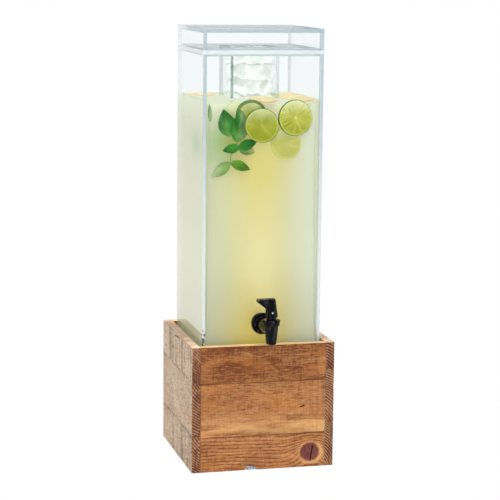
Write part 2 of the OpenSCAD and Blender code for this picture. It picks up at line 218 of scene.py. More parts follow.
class StageSettings(bpy.types.PropertyGroup):
    """Floor and lights"""

    floor: colour_setting("Floor", "Plain pale floor", 250, 250, 250)
    floor_cloud: colour_setting("Floor clouds", "Faint clouds on the floor", 244, 244, 244)
    sky: FloatProperty(name="Sky", description="Strength of the light from all around", default=0.42, min=0)
    key: power_setting("Key light", "Power of the light from the left", 8)
    top: power_setting("Top light", "Power of the light from above", 33)
    back: power_setting("Back light", "Power of the light from behind", 5)
    strip: power_setting("Strip light", "Power of the narrow light", 5)


class Value:
    """A shader socket that takes part in Python expressions."""

    def __init__(self, finish, socket):
        self.finish = finish
        self.socket = socket

    def math(self, operation, *others):
        return self.finish.math(operation, self, *others)

    def __add__(self, other):
        return self.math("ADD", other)

    def __radd__(self, other):
        return self.finish.math("ADD", other, self)

    def __sub__(self, other):
        return self.math("SUBTRACT", other)

    def __rsub__(self, other):
        return self.finish.math("SUBTRACT", other, self)

    def __mul__(self, other):
        return self.math("MULTIPLY", other)

    def __rmul__(self, other):
        return self.finish.math("MULTIPLY", other, self)

    def __truediv__(self, other):
        return self.math("DIVIDE", other)

    def __neg__(self):
        return self.math("MULTIPLY", -1.0)

    def __abs__(self):
        return self.math("ABSOLUTE")

    def __pow__(self, other):
        return self.math("POWER", other)


class Nodes:
    """A node tree that is written as Python expressions."""

    def __init__(self, tree):
        self.nodes = tree.nodes
        self.links = tree.links
        self.nodes.clear()

    def node(self, kind, settings=None, sockets=None, output=0):
        """Adds a node with its settings, then the values or links of its sockets, and returns one output."""
        node = self.nodes.new(kind)
        for key, value in (settings or {}).items():
            setattr(node, key, value)
        for key, value in (sockets or {}).items():
            if isinstance(value, Value):
                self.links.new(value.socket, node.inputs[key])
            else:
                node.inputs[key].default_value = value
        return None if output is None else Value(self, node.outputs[output])

    def math(self, operation, *values):
        return self.node("ShaderNodeMath", {"operation": operation}, dict(enumerate(values)))

    def place(self):
        """Position in the piece's own frame, as X, Y and Z."""
        return self.split(self.node("ShaderNodeTexCoord", output="Object"))

    def facing(self):
        """Normal in the piece's own frame, as X, Y and Z."""
        return self.split(self.node("ShaderNodeTexCoord", output="Normal"))

    def split(self, vector):
        parts = self.node("ShaderNodeSeparateXYZ", None, {0: vector})
        return [Value(self, socket) for socket in parts.socket.node.outputs]

    def vector(self, *parts):
        return self.node("ShaderNodeCombineXYZ", None, dict(enumerate(parts)))

    def noise(self, vector, detail=2.0, roughness=0.5):
        sockets = {"Vector": vector, "Scale": 1.0, "Detail": detail, "Roughness": roughness}
        return self.node("ShaderNodeTexNoise", None, sockets)

    def speckle(self, place, scales, detail=2.0, roughness=0.5):
        """Noise over a place, with one scale for all axes or one for each."""
        scales = scales if isinstance(scales, tuple) else (scales,) * 3
        scaled = [axis * scale for axis, scale in zip(place, scales)]
        return self.noise(self.vector(*scaled), detail, roughness)

    def smooth(self, value, start, end):
        """Rises smoothly from 0 at start to 1 at end, or falls where start is above end."""
        sockets = {0: value, 1: start, 2: end, 3: 0.0, 4: 1.0}
        return self.node("ShaderNodeMapRange", {"interpolation_type": "SMOOTHSTEP"}, sockets)

    def mix(self, share, first, second):
        """Blends two colours."""
        settings = {"data_type": "RGBA", "blend_type": "MIX"}
        sockets = {0: share}
        for socket, colour in ((6, first), (7, second)):
            sockets[socket] = colour if isinstance(colour, Value) else rgba(colour)
        return self.node("ShaderNodeMix", settings, sockets, 2)

    def dimmed(self, share, colour):
        """A colour that loses a share of its light."""
        return self.mix(share, colour, BLACK)

    def bump(self, height, strength, distance):
        sockets = {"Height": height, "Strength": strength, "Distance": distance}
        return self.node("ShaderNodeBump", None, sockets)

    def principled(self, **sockets):
        """A Principled shader, with its sockets' names written with underscores."""
        named = {key.replace("_", " "): value for key, value in sockets.items()}
        named["Specular IOR Level"] = named.pop("Specular", 0.5)
        return self.node("ShaderNodeBsdfPrincipled", None, named)

    def blend(self, share, first, second):
        """Blends two shaders."""
        return self.node("ShaderNodeMixShader", None, {0: share, 1: first, 2: second})

    def output(self, kind, shader):
        self.node(kind, None, {"Surface": shader}, None)


class Finish(Nodes):
    """A material made from nodes."""

    def __init__(self, name):
        self.material = bpy.data.materials.new(name)
        self.material.use_nodes = True
        super().__init__(self.material.node_tree)

    def done(self, shader):
        self.output("ShaderNodeOutputMaterial", shader)
        return self.material


def add_piece(name, mesh, body, replaces=(), matrix=None, smooth=True):
    """Links a mesh as a piece that rides on a body."""
    piece = bpy.data.objects.new(name, mesh)
    bpy.context.scene.collection.objects.link(piece)
    if matrix is not None:
        piece.matrix_world = matrix
    mesh.polygons.foreach_set("use_smooth", [smooth] * len(mesh.polygons))
    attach(piece, body)
    if replaces:
        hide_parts(*replaces)
    return piece


def assign(node, material):
    """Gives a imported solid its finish."""
    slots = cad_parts[node].data.materials
    slots.clear()
    slots.append(material)


def mesh_of(name, points, faces, *materials):
    """Mesh of points and faces."""
    mesh = bpy.data.meshes.new(name)
    mesh.from_pydata([tuple(point) for point in points], [], [tuple(face) for face in faces])
    mesh.validate()
    for material in materials:
        mesh.materials.append(material)
    return mesh


def mesh_from(name, bm, *materials):
    """Mesh of a bmesh, which is used up."""
    mesh = bpy.data.meshes.new(name)
    bm.to_mesh(mesh)
    bm.free()
    for material in materials:
        mesh.materials.append(material)
    return mesh


def tube_faces(rows, ring, closed=True):
    """Faces between the rings of points of a tube, and over both of its ends where it is closed."""
    faces = []
    for row in range(rows - 1):
        for i in range(ring):
            here, after = row * ring + i, row * ring + (i + 1) % ring
            faces.append([here, after, after + ring, here + ring])
    if closed:
        faces.append(list(range(ring))[::-1])
        faces.append([(rows - 1) * ring + i for i in range(ring)])
    return faces


def grid_box(cuts):
    """Closed surface of a box whose faces are divided at the given X, Y and Z values."""
    counts = [len(places) for places in cuts]
    points, faces, index = [], [], {}

    def corner(key):
        if key not in index:
            index[key] = len(points)
            points.append([cuts[axis][key[axis]] for axis in range(3)])
        return index[key]

    for axis in range(3):
        u, v = (axis + 1) % 3, (axis + 2) % 3
        for end in (0, counts[axis] - 1):
            for i in range(counts[u] - 1):
                for j in range(counts[v] - 1):
                    quad = []
                    for step_u, step_v in ((0, 0), (1, 0), (1, 1), (0, 1)):
                        key = [0, 0, 0]
                        key[axis], key[u], key[v] = end, i + step_u, j + step_v
                        quad.append(corner(tuple(key)))
                    faces.append(quad if end else quad[::-1])
    return np.array(points), faces


def cuts_between(low, high, step, border):
    """Values from low to high, at even steps, with closer ones for a rounded border."""
    inner_low, inner_high = low + border, high - border
    count = max(1, round((inner_high - inner_low) / step))
    near = [border * share for share in (0.0, 0.2, 0.45, 0.7)]
    values = [low + inward for inward in near]
    values += list(np.linspace(inner_low, inner_high, count + 1))
    values += [high - inward for inward in near]
    return np.unique(np.round(values, 7))


def noise_at(points, scale, seed):
    """Smooth noise from -1 to 1 at each point, with a scale for each axis."""
    shift = Vector((seed * 7.31, seed * 3.17, seed * 5.73))
    return np.array([noise.noise(Vector(spot) + shift) for spot in points * np.array(scale)])


# Crate

ROWS = ("bottom", "middle", "top")
# Axis and direction that each wall's outer face looks along
OUTWARD = {"front": (1, -1), "back": (1, 1), "left": (0, -1), "right": (0, 1)}
STEP_ALONG, STEP_UP, STEP_THROUGH = 2.2 * MM, 2.0 * MM, 4.0 * MM
# Scales of the noise in worn edges and sawn faces
EDGE_SCALE, EDGE_SCALE_ALONG = 90, 24
SAWN_SCALE, SAWN_SCALE_ALONG = 260, 60


class BoardLook(NamedTuple):
    """How one board was cut from its log, and how strong its rings, flames and saw marks are."""

    seed: int
    pith_rise: float
    pith_depth: float
    ring: float
    slope: float
    shade: float
    rings: float
    flame: float
    saw: float


class Dent(NamedTuple):
    """A slot in a board's outer face: middle, half sizes, slant and depth."""

    along: float
    height: float
    half_length: float
    half_width: float
    slant: float
    depth: float

    def shares(self, along, up):
        """Distances from the slot's middle, along it and across it, as shares of its half sizes."""
        cos, sin = math.cos(self.slant), math.sin(self.slant)
        off_along, off_up = along - self.along, up - self.height
        lengthwise = (off_along * cos + off_up * sin) / self.half_length
        sideways = (off_up * cos - off_along * sin) / self.half_width
        return lengthwise, sideways


class Knot(NamedTuple):
    """A knot in a board's outer face, with the crack that runs down it."""

    along: float
    height: float
    radius: float
    crack_top: tuple
    crack_low: tuple

    def crack_course(self, along, up):
        """How far up the crack a place lies, as a share of its length, and how far beside it."""
        (top_along, top_up), (low_along, low_up) = self.crack_top, self.crack_low
        length = math.hypot(top_along - low_along, top_up - low_up)
        run_along, run_up = (top_along - low_along) / length, (top_up - low_up) / length
        off_along, off_up = along - low_along, up - low_up
        forward = (off_along * run_along + off_up * run_up) / length
        return forward, off_along * run_up - off_up * run_along


LOOKS = {
    "front_board_bottom": BoardLook(1, 0.058, 0.030, 0.0046, 0.03, 0.50, 0.52, 1.5, 0.30),
    "front_board_middle": BoardLook(2, -0.062, 0.045, 0.0040, 0.03, 0.62, 0.12, 0.5, 0.30),
    "front_board_top": BoardLook(3, 0.050, 0.032, 0.0036, -0.04, 0.88, 0.14, 1.5, 0.45),
    "back_board_bottom": BoardLook(4, -0.048, 0.040, 0.0042, 0.03, 0.46, 0.30, 0.9, 0.30),
    "back_board_middle": BoardLook(5, 0.060, 0.050, 0.0040, -0.05, 0.40, 0.18, 0.7, 0.30),
    "back_board_top": BoardLook(6, -0.052, 0.036, 0.0038, 0.04, 0.60, 0.16, 1.3, 0.40),
    "left_board_bottom": BoardLook(7, 0.056, 0.058, 0.0036, 0.03, 0.44, 0.10, 0.6, 1.00),
    "left_board_middle": BoardLook(8, 0.066, 0.054, 0.0036, -0.03, 0.54, 0.08, 0.6, 0.35),
    "left_board_top": BoardLook(9, 0.060, 0.056, 0.0034, 0.04, 0.32, 0.10, 0.6, 0.95),
    "right_board_bottom": BoardLook(10, -0.056, 0.056, 0.0034, 0.05, 0.38, 0.10, 0.7, 0.85),
    "right_board_middle": BoardLook(11, -0.064, 0.052, 0.0035, 0.03, 0.40, 0.08, 0.6, 0.40),
    "right_board_top": BoardLook(12, -0.058, 0.058, 0.0034, -0.04, 0.48, 0.10, 0.7, 0.80),
}
DENTS = {
    "front_board_middle": [Dent(0.0582, 0.0908, 0.0042, 0.0010, 0.25, 0.0022)],
    "left_board_top": [
        Dent(0.000, 0.1779, 0.0215, 0.0012, -0.06, 0.0020),
        Dent(0.0815, 0.1480, 0.0072, 0.0010, 0.10, 0.0016),
    ],
    "right_board_middle": [Dent(-0.0420, 0.1010, 0.0060, 0.0010, 0.12, 0.0018)],
    "back_board_bottom": [Dent(-0.0350, 0.0300, 0.0050, 0.0010, -0.20, 0.0018)],
}
KNOTS = {"front_board_bottom": Knot(0.0706, 0.0215, 0.0140, (0.0749, 0.0343), (0.0703, 0.0072))}
CRACK_STEP, CRACK_DEPTH, CRACK_HALF_WIDTH = 0.0004, 0.0012, 0.0009
SAPWOOD_BOARD = "front_board_middle"
# Steel glide, with the X and Z of its middle, and the chip in the board that shows it
GLIDE_BOARD = "front_board_bottom"
GLIDE_PLACE = (-0.0182, 0.0)
GLIDE_RADIUS = 0.0092
CHIP_RADIUS = GLIDE_RADIUS * 1.15
CHIP_DEPTH, CHIP_REACH = 0.0022, 0.004


class BoardFinish(Finish):
    """Sawn board, painted in layers: grain, sawn ends, a rim with painted light and a painted glow, saw
    marks, slots and knot.
    """

    def __init__(self, name, wall, low, high, look, crate):
        super().__init__(name)
        self.board, self.low, self.high, self.look, self.crate = name, low, high, look, crate
        self.side = wall in ("left", "right")
        x, y, self.z = self.place()
        face_x, face_y, self.face_z = self.facing()
        self.along, self.through, end_face = (y, x, face_y) if self.side else (x, y, face_x)
        self.sawn_end = self.smooth(abs(end_face), 0.6, 0.85)
        self.dash = self.smooth(self.grain((100, 560, 560), 0.0, 3.0, 0.75), 0.43, 0.71)
        self.thread = self.grain((520, 520, 110), 4.0, 2.0, 0.7)
        self.cloud = self.grain((13, 34, 34), 2.0, 3.0, 0.6)
        self.knot = KNOTS.get(name)
        if self.knot:
            self.off_along, self.off_up = self.along - self.knot.along, self.z - self.knot.height
            self.wander = (self.grain((160, 160, 160)) - 0.5) * 0.004
            squared = self.off_along * self.off_along + self.off_up * self.off_up * 1.15
            self.reach = squared.math("SQRT") + self.wander
        axis, sign = OUTWARD[wall]
        outer = high[axis] if sign > 0 else low[axis]
        self.phase = self.ring_phase(outer - sign * look.pith_depth)
        self.cycle = self.phase.math("FRACT")
        self.late = self.smooth(self.cycle, 0.25, 0.90) * self.smooth(self.cycle, 1.0, 0.93)

    def grain(self, scales, shift=0.0, detail=2.0, roughness=0.5):
        """Noise with a scale along, through and up the board, and a start of its own for each shift."""
        along, through, up = scales
        start = self.look.seed * 3.7 + shift
        place = self.vector(self.along * along + start, self.through * through, self.z * up)
        return self.noise(place, detail, roughness)

    def ring_phase(self, pith):
        """Count of growth rings from the pith line, swollen round a knot."""
        look = self.look
        rise = self.z - ((self.low.z + self.high.z) / 2 + look.pith_rise) + self.along * look.slope
        rise = rise + (self.grain((7, 14, 16), 0.0, 2.5) - 0.5) * 0.016
        depth = self.through - pith
        phase = (rise * rise + depth * depth).math("SQRT") / look.ring
        phase = phase + (self.grain((4, 20, 20), 5.0) - 0.5) * 1.6
        if self.knot:
            swell = (-((self.reach / (self.knot.radius * 1.7)) ** 2)).math("EXPONENT")
            phase = phase + swell * 3.4
        return phase

    def grain_colour(self):
        """Rings, flames, fibres, golden patches and pale flecks."""
        look, crate, side = self.look, self.crate, self.side
        flame = self.vector(self.phase * 0.42, self.along * 9 + look.seed, self.through * 4)
        flame = self.noise(flame, 3.0, 0.6)
        rough = 1.5 if side else 1.0
        tone = look.shade + (self.late - 0.35) * look.rings + (flame - 0.5) * look.flame
        tone = tone + (self.dash - 0.4) * (0.5 * rough) + (self.thread - 0.5) * (0.8 * rough)
        tone = tone + (self.cloud - 0.5)
        light, dark = (crate.side_light, crate.side_dark) if side else (crate.front_light, crate.front_dark)
        colour = self.mix(tone, light, dark)
        amber = self.smooth(self.grain((16, 40, 48), 12.0), 0.48, 0.68)
        colour = self.mix(amber * 0.40, colour, crate.side_amber if side else crate.front_amber)
        fleck = self.smooth(self.grain((70, 620, 620), 8.0, 2.0, 0.6), 0.54, 0.72)
        colour = self.mix(fleck * 0.38, colour, crate.side_fleck if side else crate.sapwood)
        if self.board == SAPWOOD_BOARD:
            wave = self.z - self.along * 0.05 + (self.grain((12, 20, 20), 6.0) - 0.5) * 0.02
            low_down = self.smooth(wave, self.low.z + 0.040, self.low.z + 0.012)
            colour = self.mix(low_down * self.smooth(flame, 0.68, 0.40) * 0.72, colour, crate.sapwood)
        return colour

    def end_colour(self):
        """Rings on the sawn ends, crisper in some places than in others."""
        line = self.smooth(self.cycle, 0.30, 0.65) * self.smooth(self.cycle, 1.0, 0.75)
        crisp = self.smooth(self.grain((9, 90, 26), 7.0), 0.38, 0.55)
        tone = 0.50 - self.look.shade + line * (0.34 + crisp * 0.66)
        tone = tone + (self.thread - 0.5) * 1.6 + (self.cloud - 0.5) * 1.3
        return self.mix(tone, self.crate.end_dark, self.crate.end_light)

    def knot_colour(self, colour, crack):
        """Halo, ring, spoked heart and crack of the knot, over the board's colour."""
        crate, radius = self.crate, self.knot.radius
        spoke = self.noise(self.vector(self.off_along * 420, self.off_up * 120, 3.0), 3.0, 0.6)
        heart = self.mix((spoke - 0.35) * 2.2, crate.knot_light, crate.knot_dark)
        toward = self.smooth(self.off_along - self.off_up, -0.012, 0.012)
        halo = self.smooth(self.reach, radius * 1.60, radius * 1.10)
        colour = self.mix(halo * (0.30 + toward * 0.65), colour, crate.knot_halo)
        ring = self.smooth(self.reach, radius * 1.16, radius * 1.02)
        colour = self.mix(ring * (1 - toward * 0.6), colour, crate.knot_ring)
        inside = self.smooth(self.reach, radius * 1.04, radius * 0.84)
        colour = self.mix(inside * 0.95, colour, heart)
        return self.mix(crack, colour, crate.crack)

    def slot_mask(self, dent):
        """1 inside a slanted slot, 0 outside it."""
        lengthwise, sideways = dent.shares(self.along, self.z)
        return self.smooth(lengthwise * lengthwise + sideways * sideways, 1.15, 0.7)

    def crack_mask(self):
        """1 along the crack through the knot."""
        forward, beside = self.knot.crack_course(self.along, self.z)
        inside = self.smooth(forward, 0.0, 0.12) * self.smooth(forward, 1.0, 0.8)
        return self.smooth(abs(beside + self.wander * 0.35), 0.0014, 0.0006) * inside

    def painted(self):
        """Lays the layers over each other and returns the material."""
        look, crate, side = self.look, self.crate, self.side
        colour = self.mix(self.sawn_end, self.grain_colour(), self.end_colour())

        plain, painted_rim_glow = 1 - self.sawn_end, {}
        # Up-facing rims of the top boards: paler fresh wood with painted light from above, and a painted glow
        if self.board.endswith("top"):
            rim = self.smooth(self.face_z, 0.55, 0.85)
            fresh_and_lit = crate.fresh_and_lit_side if side else crate.fresh_and_lit
            colour = self.mix(rim * (1 - self.dash * 0.2), colour, fresh_and_lit)
            painted_rim_glow["Emission_Color"] = self.mix(rim, BLACK, fresh_and_lit)
            painted_rim_glow["Emission_Strength"] = 0.14 if side else 0.36
            plain = plain * (1 - rim)

        pitch, bare = (150, 0.32) if side else (380, 0.40)
        kerf = self.grain((pitch, 3, 7), 1.0, 1.0)
        patch = self.grain((17, 24, 22), 9.0)
        sawn = self.smooth(kerf, 0.48, 0.60) * self.smooth(patch, bare, bare + 0.18) * plain
        sunk = sawn * look.saw
        colour = self.mix(sunk * (bare + 0.06 + self.dash * 0.50), colour, crate.kerf)
        # Darker close to the seams between the boards
        seam = (self.z - self.low.z).math("MINIMUM", self.high.z - self.z)
        near_seam_dark = self.smooth(seam, 0.0018, 0.0) * self.smooth(patch, 0.35, 0.6)
        colour = self.mix(near_seam_dark * 0.6, colour, crate.kerf)

        for dent in DENTS.get(self.board, ()):
            slot = self.slot_mask(dent)
            colour = self.mix(slot, colour, crate.kerf)
            sunk = sunk + slot
        if self.knot:
            crack = self.crack_mask()
            colour = self.knot_colour(colour, crack)
            sunk = sunk + crack

        relief = self.thread * 0.7 - self.dash * 0.35 - self.late * (look.rings * 0.3) - sunk * 0.8
        shader = self.principled(
            Base_Color=colour,
            Roughness=0.50 + self.thread * 0.25 + self.sawn_end * 0.12,
            Specular=0.12,
            Normal=self.bump(relief, 0.7, 0.0012),
            **painted_rim_glow,
        )
        return self.done(shader)


def board_cuts(name, run, low, high, crate):
    """Places where a board's faces are divided, closer at its edges, slots and crack."""
    steps = {run: STEP_ALONG, 1 - run: STEP_THROUGH, 2: STEP_UP}
    border = crate.ease + crate.wear
    cuts = [cuts_between(low[i], high[i], steps[i], border) for i in range(3)]
    fine = np.linspace(-1.1, 1.1, 13)
    for dent in DENTS.get(name, ()):
        half_height = dent.half_width + dent.half_length * abs(dent.slant)
        cuts[run] = np.union1d(cuts[run], dent.along + fine * dent.half_length)
        cuts[2] = np.union1d(cuts[2], dent.height + fine * half_height)
    knot = KNOTS.get(name)
    if knot:
        crack = np.arange(knot.crack_low[0] - MM, knot.crack_top[0] + MM, CRACK_STEP)
        cuts[run] = np.union1d(cuts[run], crack)
    return [np.clip(places, low[i], high[i]) for i, places in enumerate(cuts)]


def slots_and_crack(name, run, points):
    """How deep a board's slots and its knot's crack are at each point of its outer face."""
    along, up = points[:, run], points[:, 2]
    depth = np.zeros(len(points))
    for dent in DENTS.get(name, ()):
        lengthwise, sideways = dent.shares(along, up)
        depth += dent.depth * np.clip(1.6 * (1 - lengthwise**2 - sideways**2), 0, 1)
    knot = KNOTS.get(name)
    if knot:
        forward, beside = knot.crack_course(along, up)
        taper = np.clip(4 * forward * (1 - forward), 0, 1)
        depth += CRACK_DEPTH * taper * np.clip(1 - np.abs(beside) / CRACK_HALF_WIDTH, 0, 1)
    return depth


def chip_depth(points, face):
    """Half-round chip in the lower front edge, where a worn steel glide shows."""
    middle, foot = GLIDE_PLACE
    reach = np.hypot(points[:, 0] - middle, points[:, 2] - foot) / CHIP_RADIUS
    front = np.clip((face + CHIP_REACH - points[:, 1]) / CHIP_REACH, 0, 1)
    return CHIP_DEPTH * np.clip(1.3 * (1 - reach**4), 0, 1) * front


def board_mesh(name, wall, low, high, look, crate):
    """Board with worn edges, sawn relief, slots and a knot's crack, inside the box from low to high."""
    axis, sign = OUTWARD[wall]
    run = 1 - axis
    points, faces = grid_box(board_cuts(name, run, low, high, crate))
    edge_scale, sawn_scale = [EDGE_SCALE] * 3, [SAWN_SCALE] * 3
    edge_scale[run], sawn_scale[run] = EDGE_SCALE_ALONG, SAWN_SCALE_ALONG
    worn = np.clip(noise_at(points, edge_scale, look.seed) * 1.6, 0, 1) ** 2
    radius = (crate.ease + crate.wear * worn)[:, None]
    core = np.clip(points, np.array(low) + radius, np.array(high) - radius)
    out = points - core
    out /= np.linalg.norm(out, axis=1)[:, None]

    outer = high[axis] if sign > 0 else low[axis]
    on_face = np.abs(points[:, axis] - outer) < 1e-6
    sunk = crate.rough * (0.5 + 0.5 * noise_at(points, sawn_scale, look.seed + 40))
    sunk = sunk + on_face * slots_and_crack(name, run, points)
    shaped = core + out * (radius - sunk[:, None])
    if name == GLIDE_BOARD:
        shaped[:, 1] += chip_depth(points, low.y)
    material = BoardFinish(name, wall, low, high, look, crate).painted()
    return mesh_of(name, shaped, faces, material)


class DISPENSER_OT_crate_boards(bpy.types.Operator):
    """Saws the twelve boards of the crate, with worn edges, slots and a knot"""

    bl_idname = "dispenser.crate_boards"
    bl_label = "Crate boards"

    def execute(self, context):
        crate = context.scene.dispenser_crate
        for wall in OUTWARD:
            for row in ROWS:
                node = f"{wall}_board_{row}"
                low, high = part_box(node)
                mesh = board_mesh(node, wall, low, high, LOOKS[node], crate)
                add_piece(f"{node}_wood", mesh, "crate", [node])
        return {"FINISHED"}


def planed_finish(name, crate):
    """Planed wood with straight fibres."""
    finish = Finish(name)
    place = finish.place()
    fibre = finish.speckle(place, (500, 14, 500), 3.0, 0.6)
    band = finish.speckle(place, (70, 3, 70))
    tone = (fibre - 0.5) * 1.2 + (band - 0.5) * 1.4 + 0.5
    shader = finish.principled(
        Base_Color=finish.mix(tone, crate.inner_light, crate.inner_dark),
        Roughness=0.5 + fibre * 0.2,
        Normal=finish.bump(fibre, 0.25, 0.0004),
    )
    return finish.done(shader)


class DISPENSER_OT_crate_inside(bpy.types.Operator):
    """Gives the shelf and its cleats a plain planed finish"""

    bl_idname = "dispenser.crate_inside"
    bl_label = "Shelf and cleats"

    def execute(self, context):
        crate = context.scene.dispenser_crate
        for node in ("shelf", "cleat_left", "cleat_right"):
            assign(node, planed_finish(f"{node}_planed", crate))
        return {"FINISHED"}


GLIDE_RINGS, GLIDE_TURNS = 6, 24
GLIDE_SQUASH, GLIDE_WEAR = 0.62, 0.9
GLIDE_DEPTHS = (0.0010, 0.0026)
GLIDE_DIMPLE, GLIDE_SAG, GLIDE_LIFT = 0.0006, 0.0005, 0.0003


def steel_finish(name, tap, wear=0.0):
    """Scratched steel, with dark worn spots where wear is above 0."""
    finish = Finish(name)
    place = finish.place()
    scratch = finish.speckle(place, (900, 900, 2600), 3.0, 0.6)
    shade = finish.mix(scratch * 0.4, tap.steel, tap.scratch)
    metallic, roughness, relief = 1.0, 0.22 + scratch * 0.25, scratch
    if wear:
        blot = finish.speckle(place, (520, 520, 700), 3.0, 0.7)
        worn = finish.smooth(blot, 0.46, 0.56) * wear
        shade = finish.mix(worn, shade, tap.worn)
        metallic = (1 - wear * 0.2) - worn * 0.8
        roughness = roughness + worn * 0.3
        relief = scratch + blot * wear
    shader = finish.principled(
        Base_Color=shade,
        Metallic=metallic,
        Roughness=roughness,
        Normal=finish.bump(relief, 0.25, 0.0004),
    )
    return finish.done(shader)


class DISPENSER_OT_glide(bpy.types.Operator):
    """Sets the worn steel glide into the chip in the lower front edge"""

    bl_idname = "dispenser.glide"
    bl_label = "Steel glide"

    def execute(self, context):
        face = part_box(GLIDE_BOARD)[0].y
        middle, foot = GLIDE_PLACE
        points, faces = [], []
        for skin, depth in enumerate(GLIDE_DEPTHS):
            for ring in range(GLIDE_RINGS + 1):
                share = ring / GLIDE_RINGS
                for turn in range(GLIDE_TURNS + 1):
                    angle = math.pi * turn / GLIDE_TURNS
                    reach = GLIDE_RADIUS * share
                    spot = Vector((math.cos(angle) * reach, 0, math.sin(angle) * reach * GLIDE_SQUASH))
                    dimple = GLIDE_DIMPLE * noise.noise(spot * 420 + Vector((3, 1, 7)))
                    uneven = (GLIDE_SAG * share**2 + dimple) * (1 - skin)
                    points.append((middle + spot.x, face + depth + uneven, foot + GLIDE_LIFT + spot.z))
        row, sheet = GLIDE_TURNS + 1, (GLIDE_RINGS + 1) * (GLIDE_TURNS + 1)
        for ring in range(GLIDE_RINGS):
            for turn in range(GLIDE_TURNS):
                here = ring * row + turn
                quad = [here, here + 1, here + row + 1, here + row]
                faces.append(quad)
                faces.append([sheet + i for i in reversed(quad)])
        skins = mesh_of("steel_glide", points, faces)
        bm = bmesh.new()
        bm.from_mesh(skins)
        bpy.data.meshes.remove(skins)
        bmesh.ops.remove_doubles(bm, verts=bm.verts, dist=1e-6)
        bmesh.ops.bridge_loops(bm, edges=[edge for edge in bm.edges if edge.is_boundary])
        bmesh.ops.recalc_face_normals(bm, faces=bm.faces)
        steel = steel_finish("worn_steel", context.scene.dispenser_tap, GLIDE_WEAR)
        add_piece("steel_glide", mesh_from("steel_glide", bm, steel), "crate")
        return {"FINISHED"}


# Colour of the drink, with its painted light and shade, which the tank's walls show too

# Heights above the tank's floor between which painted shade darkens the drink
SHADE_HIGH, SHADE_LOW = 0.16, 0.01
SURFACE_DEPTH = 0.05
# Shares of the drink's colour: taken off its lit colour, and given off as a painted glow by the drink and by
# its film in the walls
DRINK_DULL = 0.45
DRINK_GLOW = 0.495
FILM_GLOW = 0.29


class Spot(NamedTuple):
    """A soft patch of colour in the drink: middle, height, half sizes and strength."""

    middle: float
    height: float
    reach: float
    reach_up: float
    strength: float

    def mask(self, across, up):
        """Strongest at the spot's middle, and nothing far from it."""
        off, off_up = (across - self.middle) / self.reach, (up - self.height) / self.reach_up
        return (-(off * off + off_up * off_up)).math("EXPONENT") * self.strength


MINT_HAZE = Spot(-0.058, 0.467, 0.024, 0.031, 0.85)
MINT_SMUDGE = Spot(-0.040, 0.4665, 0.024, 0.016, 1.0)
LEAF_SHADE = Spot(-0.037, 0.471, 0.020, 0.017, 0.80)
# Painted light: the brightest drink, at half height
BRIGHT_LOBE = Spot(0.002, 0.290, 0.030, 0.060, 0.30)
# Painted shade: a darker, deeper yellow under the fruit
FRUIT_SHADE = Spot(-0.002, 0.435, 0.040, 0.042, 0.48)


def drink_colour(finish, place, drink):
    """Colour of the drink with painted light and shade: yellow in the middle, paler at the corners, darker
    low down; green by the mint.
    """
    x, y, z = place
    floor_low, floor_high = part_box("tank_floor")
    half, foot = floor_high.x, floor_low.z
    wisp = finish.noise(finish.vector(x * 26, 0.0, z * 14), 3.0, 0.55)
    # Painted light: yellower in the middle, paler towards the corners and sides
    outward = finish.smooth(abs(x + half * 0.02) / half + (wisp - 0.5) * 0.25, 0.02, 1.0)
    colour = finish.mix(outward, drink.middle, drink.rim)
    # Painted shade: darker low down
    shaded = finish.smooth(z, foot + SHADE_HIGH, foot + SHADE_LOW)
    colour = finish.mix(shaded, colour, finish.mix(outward, drink.low, drink.low_rim))
    # Painted light: paler towards the right corner
    to_right = finish.smooth(x, half * 0.3, half)
    colour = finish.mix(to_right * (0.36 - shaded * 0.2), colour, drink.bright)
    # Painted light: paler near the surface
    near_surface = finish.smooth(z, drink.level - SURFACE_DEPTH, drink.level)
    colour = finish.mix(near_surface * 0.65, colour, drink.surface)
    left_face = finish.smooth(x, -half * 0.88, -half * 0.97)
    haze = MINT_HAZE.mask(x, z) * (1 - left_face)
    smudge = MINT_SMUDGE.mask(y, z) * left_face
    colour = finish.mix(haze + smudge, colour, drink.mint)
    colour = finish.mix(LEAF_SHADE.mask(x, z), colour, drink.shade)
    # Painted light: brightest at half height
    colour = finish.mix(BRIGHT_LOBE.mask(x, z), colour, drink.lobe)
    # Painted shade under the fruit
    return finish.mix(FRUIT_SHADE.mask(x, z), colour, drink.glow)


# Clear sheets

SHEETS = {
    "tank": ("tank_front", "tank_back", "tank_left", "tank_right", "tank_floor"),
    "ice_chamber": ("chamber_front", "chamber_back", "chamber_left", "chamber_right", "chamber_floor"),
    "lid": ("lid_top", "lid_front", "lid_back", "lid_left", "lid_right"),
}
SHANK_HOLE = 8.3 * MM
LID_GRAZING = 0.55
HOLE_TURNS = 48
MIRROR_LEAST, MIRROR_ASLANT = 0.006, 0.38
HIGH_EDGES, LIT_FAR_EDGES = (0.30, 0.58), (0.0, 0.07)
LIT_RIGHTWARD = (0.010, 0.034)


class EdgeReflection(NamedTuple):
    """Painted dark reflection on a front left corner edge: where it sets in on each axis, and its ripple."""

    leftward: tuple
    frontward: tuple
    height: tuple
    scales: tuple
    ripple: tuple

    def mask(self, finish, place):
        """Strongest in the corner, in ripples."""
        x, y, z = place
        corner = finish.smooth(x, *self.leftward) * finish.smooth(y, *self.frontward)
        ripple = finish.smooth(finish.speckle(place, self.scales), *self.ripple)
        return corner * finish.smooth(z, *self.height) * ripple * 0.9


# Painted reflection on the ice chamber's front left corner
CHAMBER_REFLECTION = EdgeReflection((-0.030, -0.034), (-0.030, -0.034), (0.530, 0.575), (500, 500, 420), (0.42, 0.55))
# Painted reflection of the crate on the tank's front left corner
CRATE_REFLECTION = EdgeReflection((-0.06, -0.07), (-0.02, -0.06), (0.210, 0.196), (260, 260, 240), (0.44, 0.52))


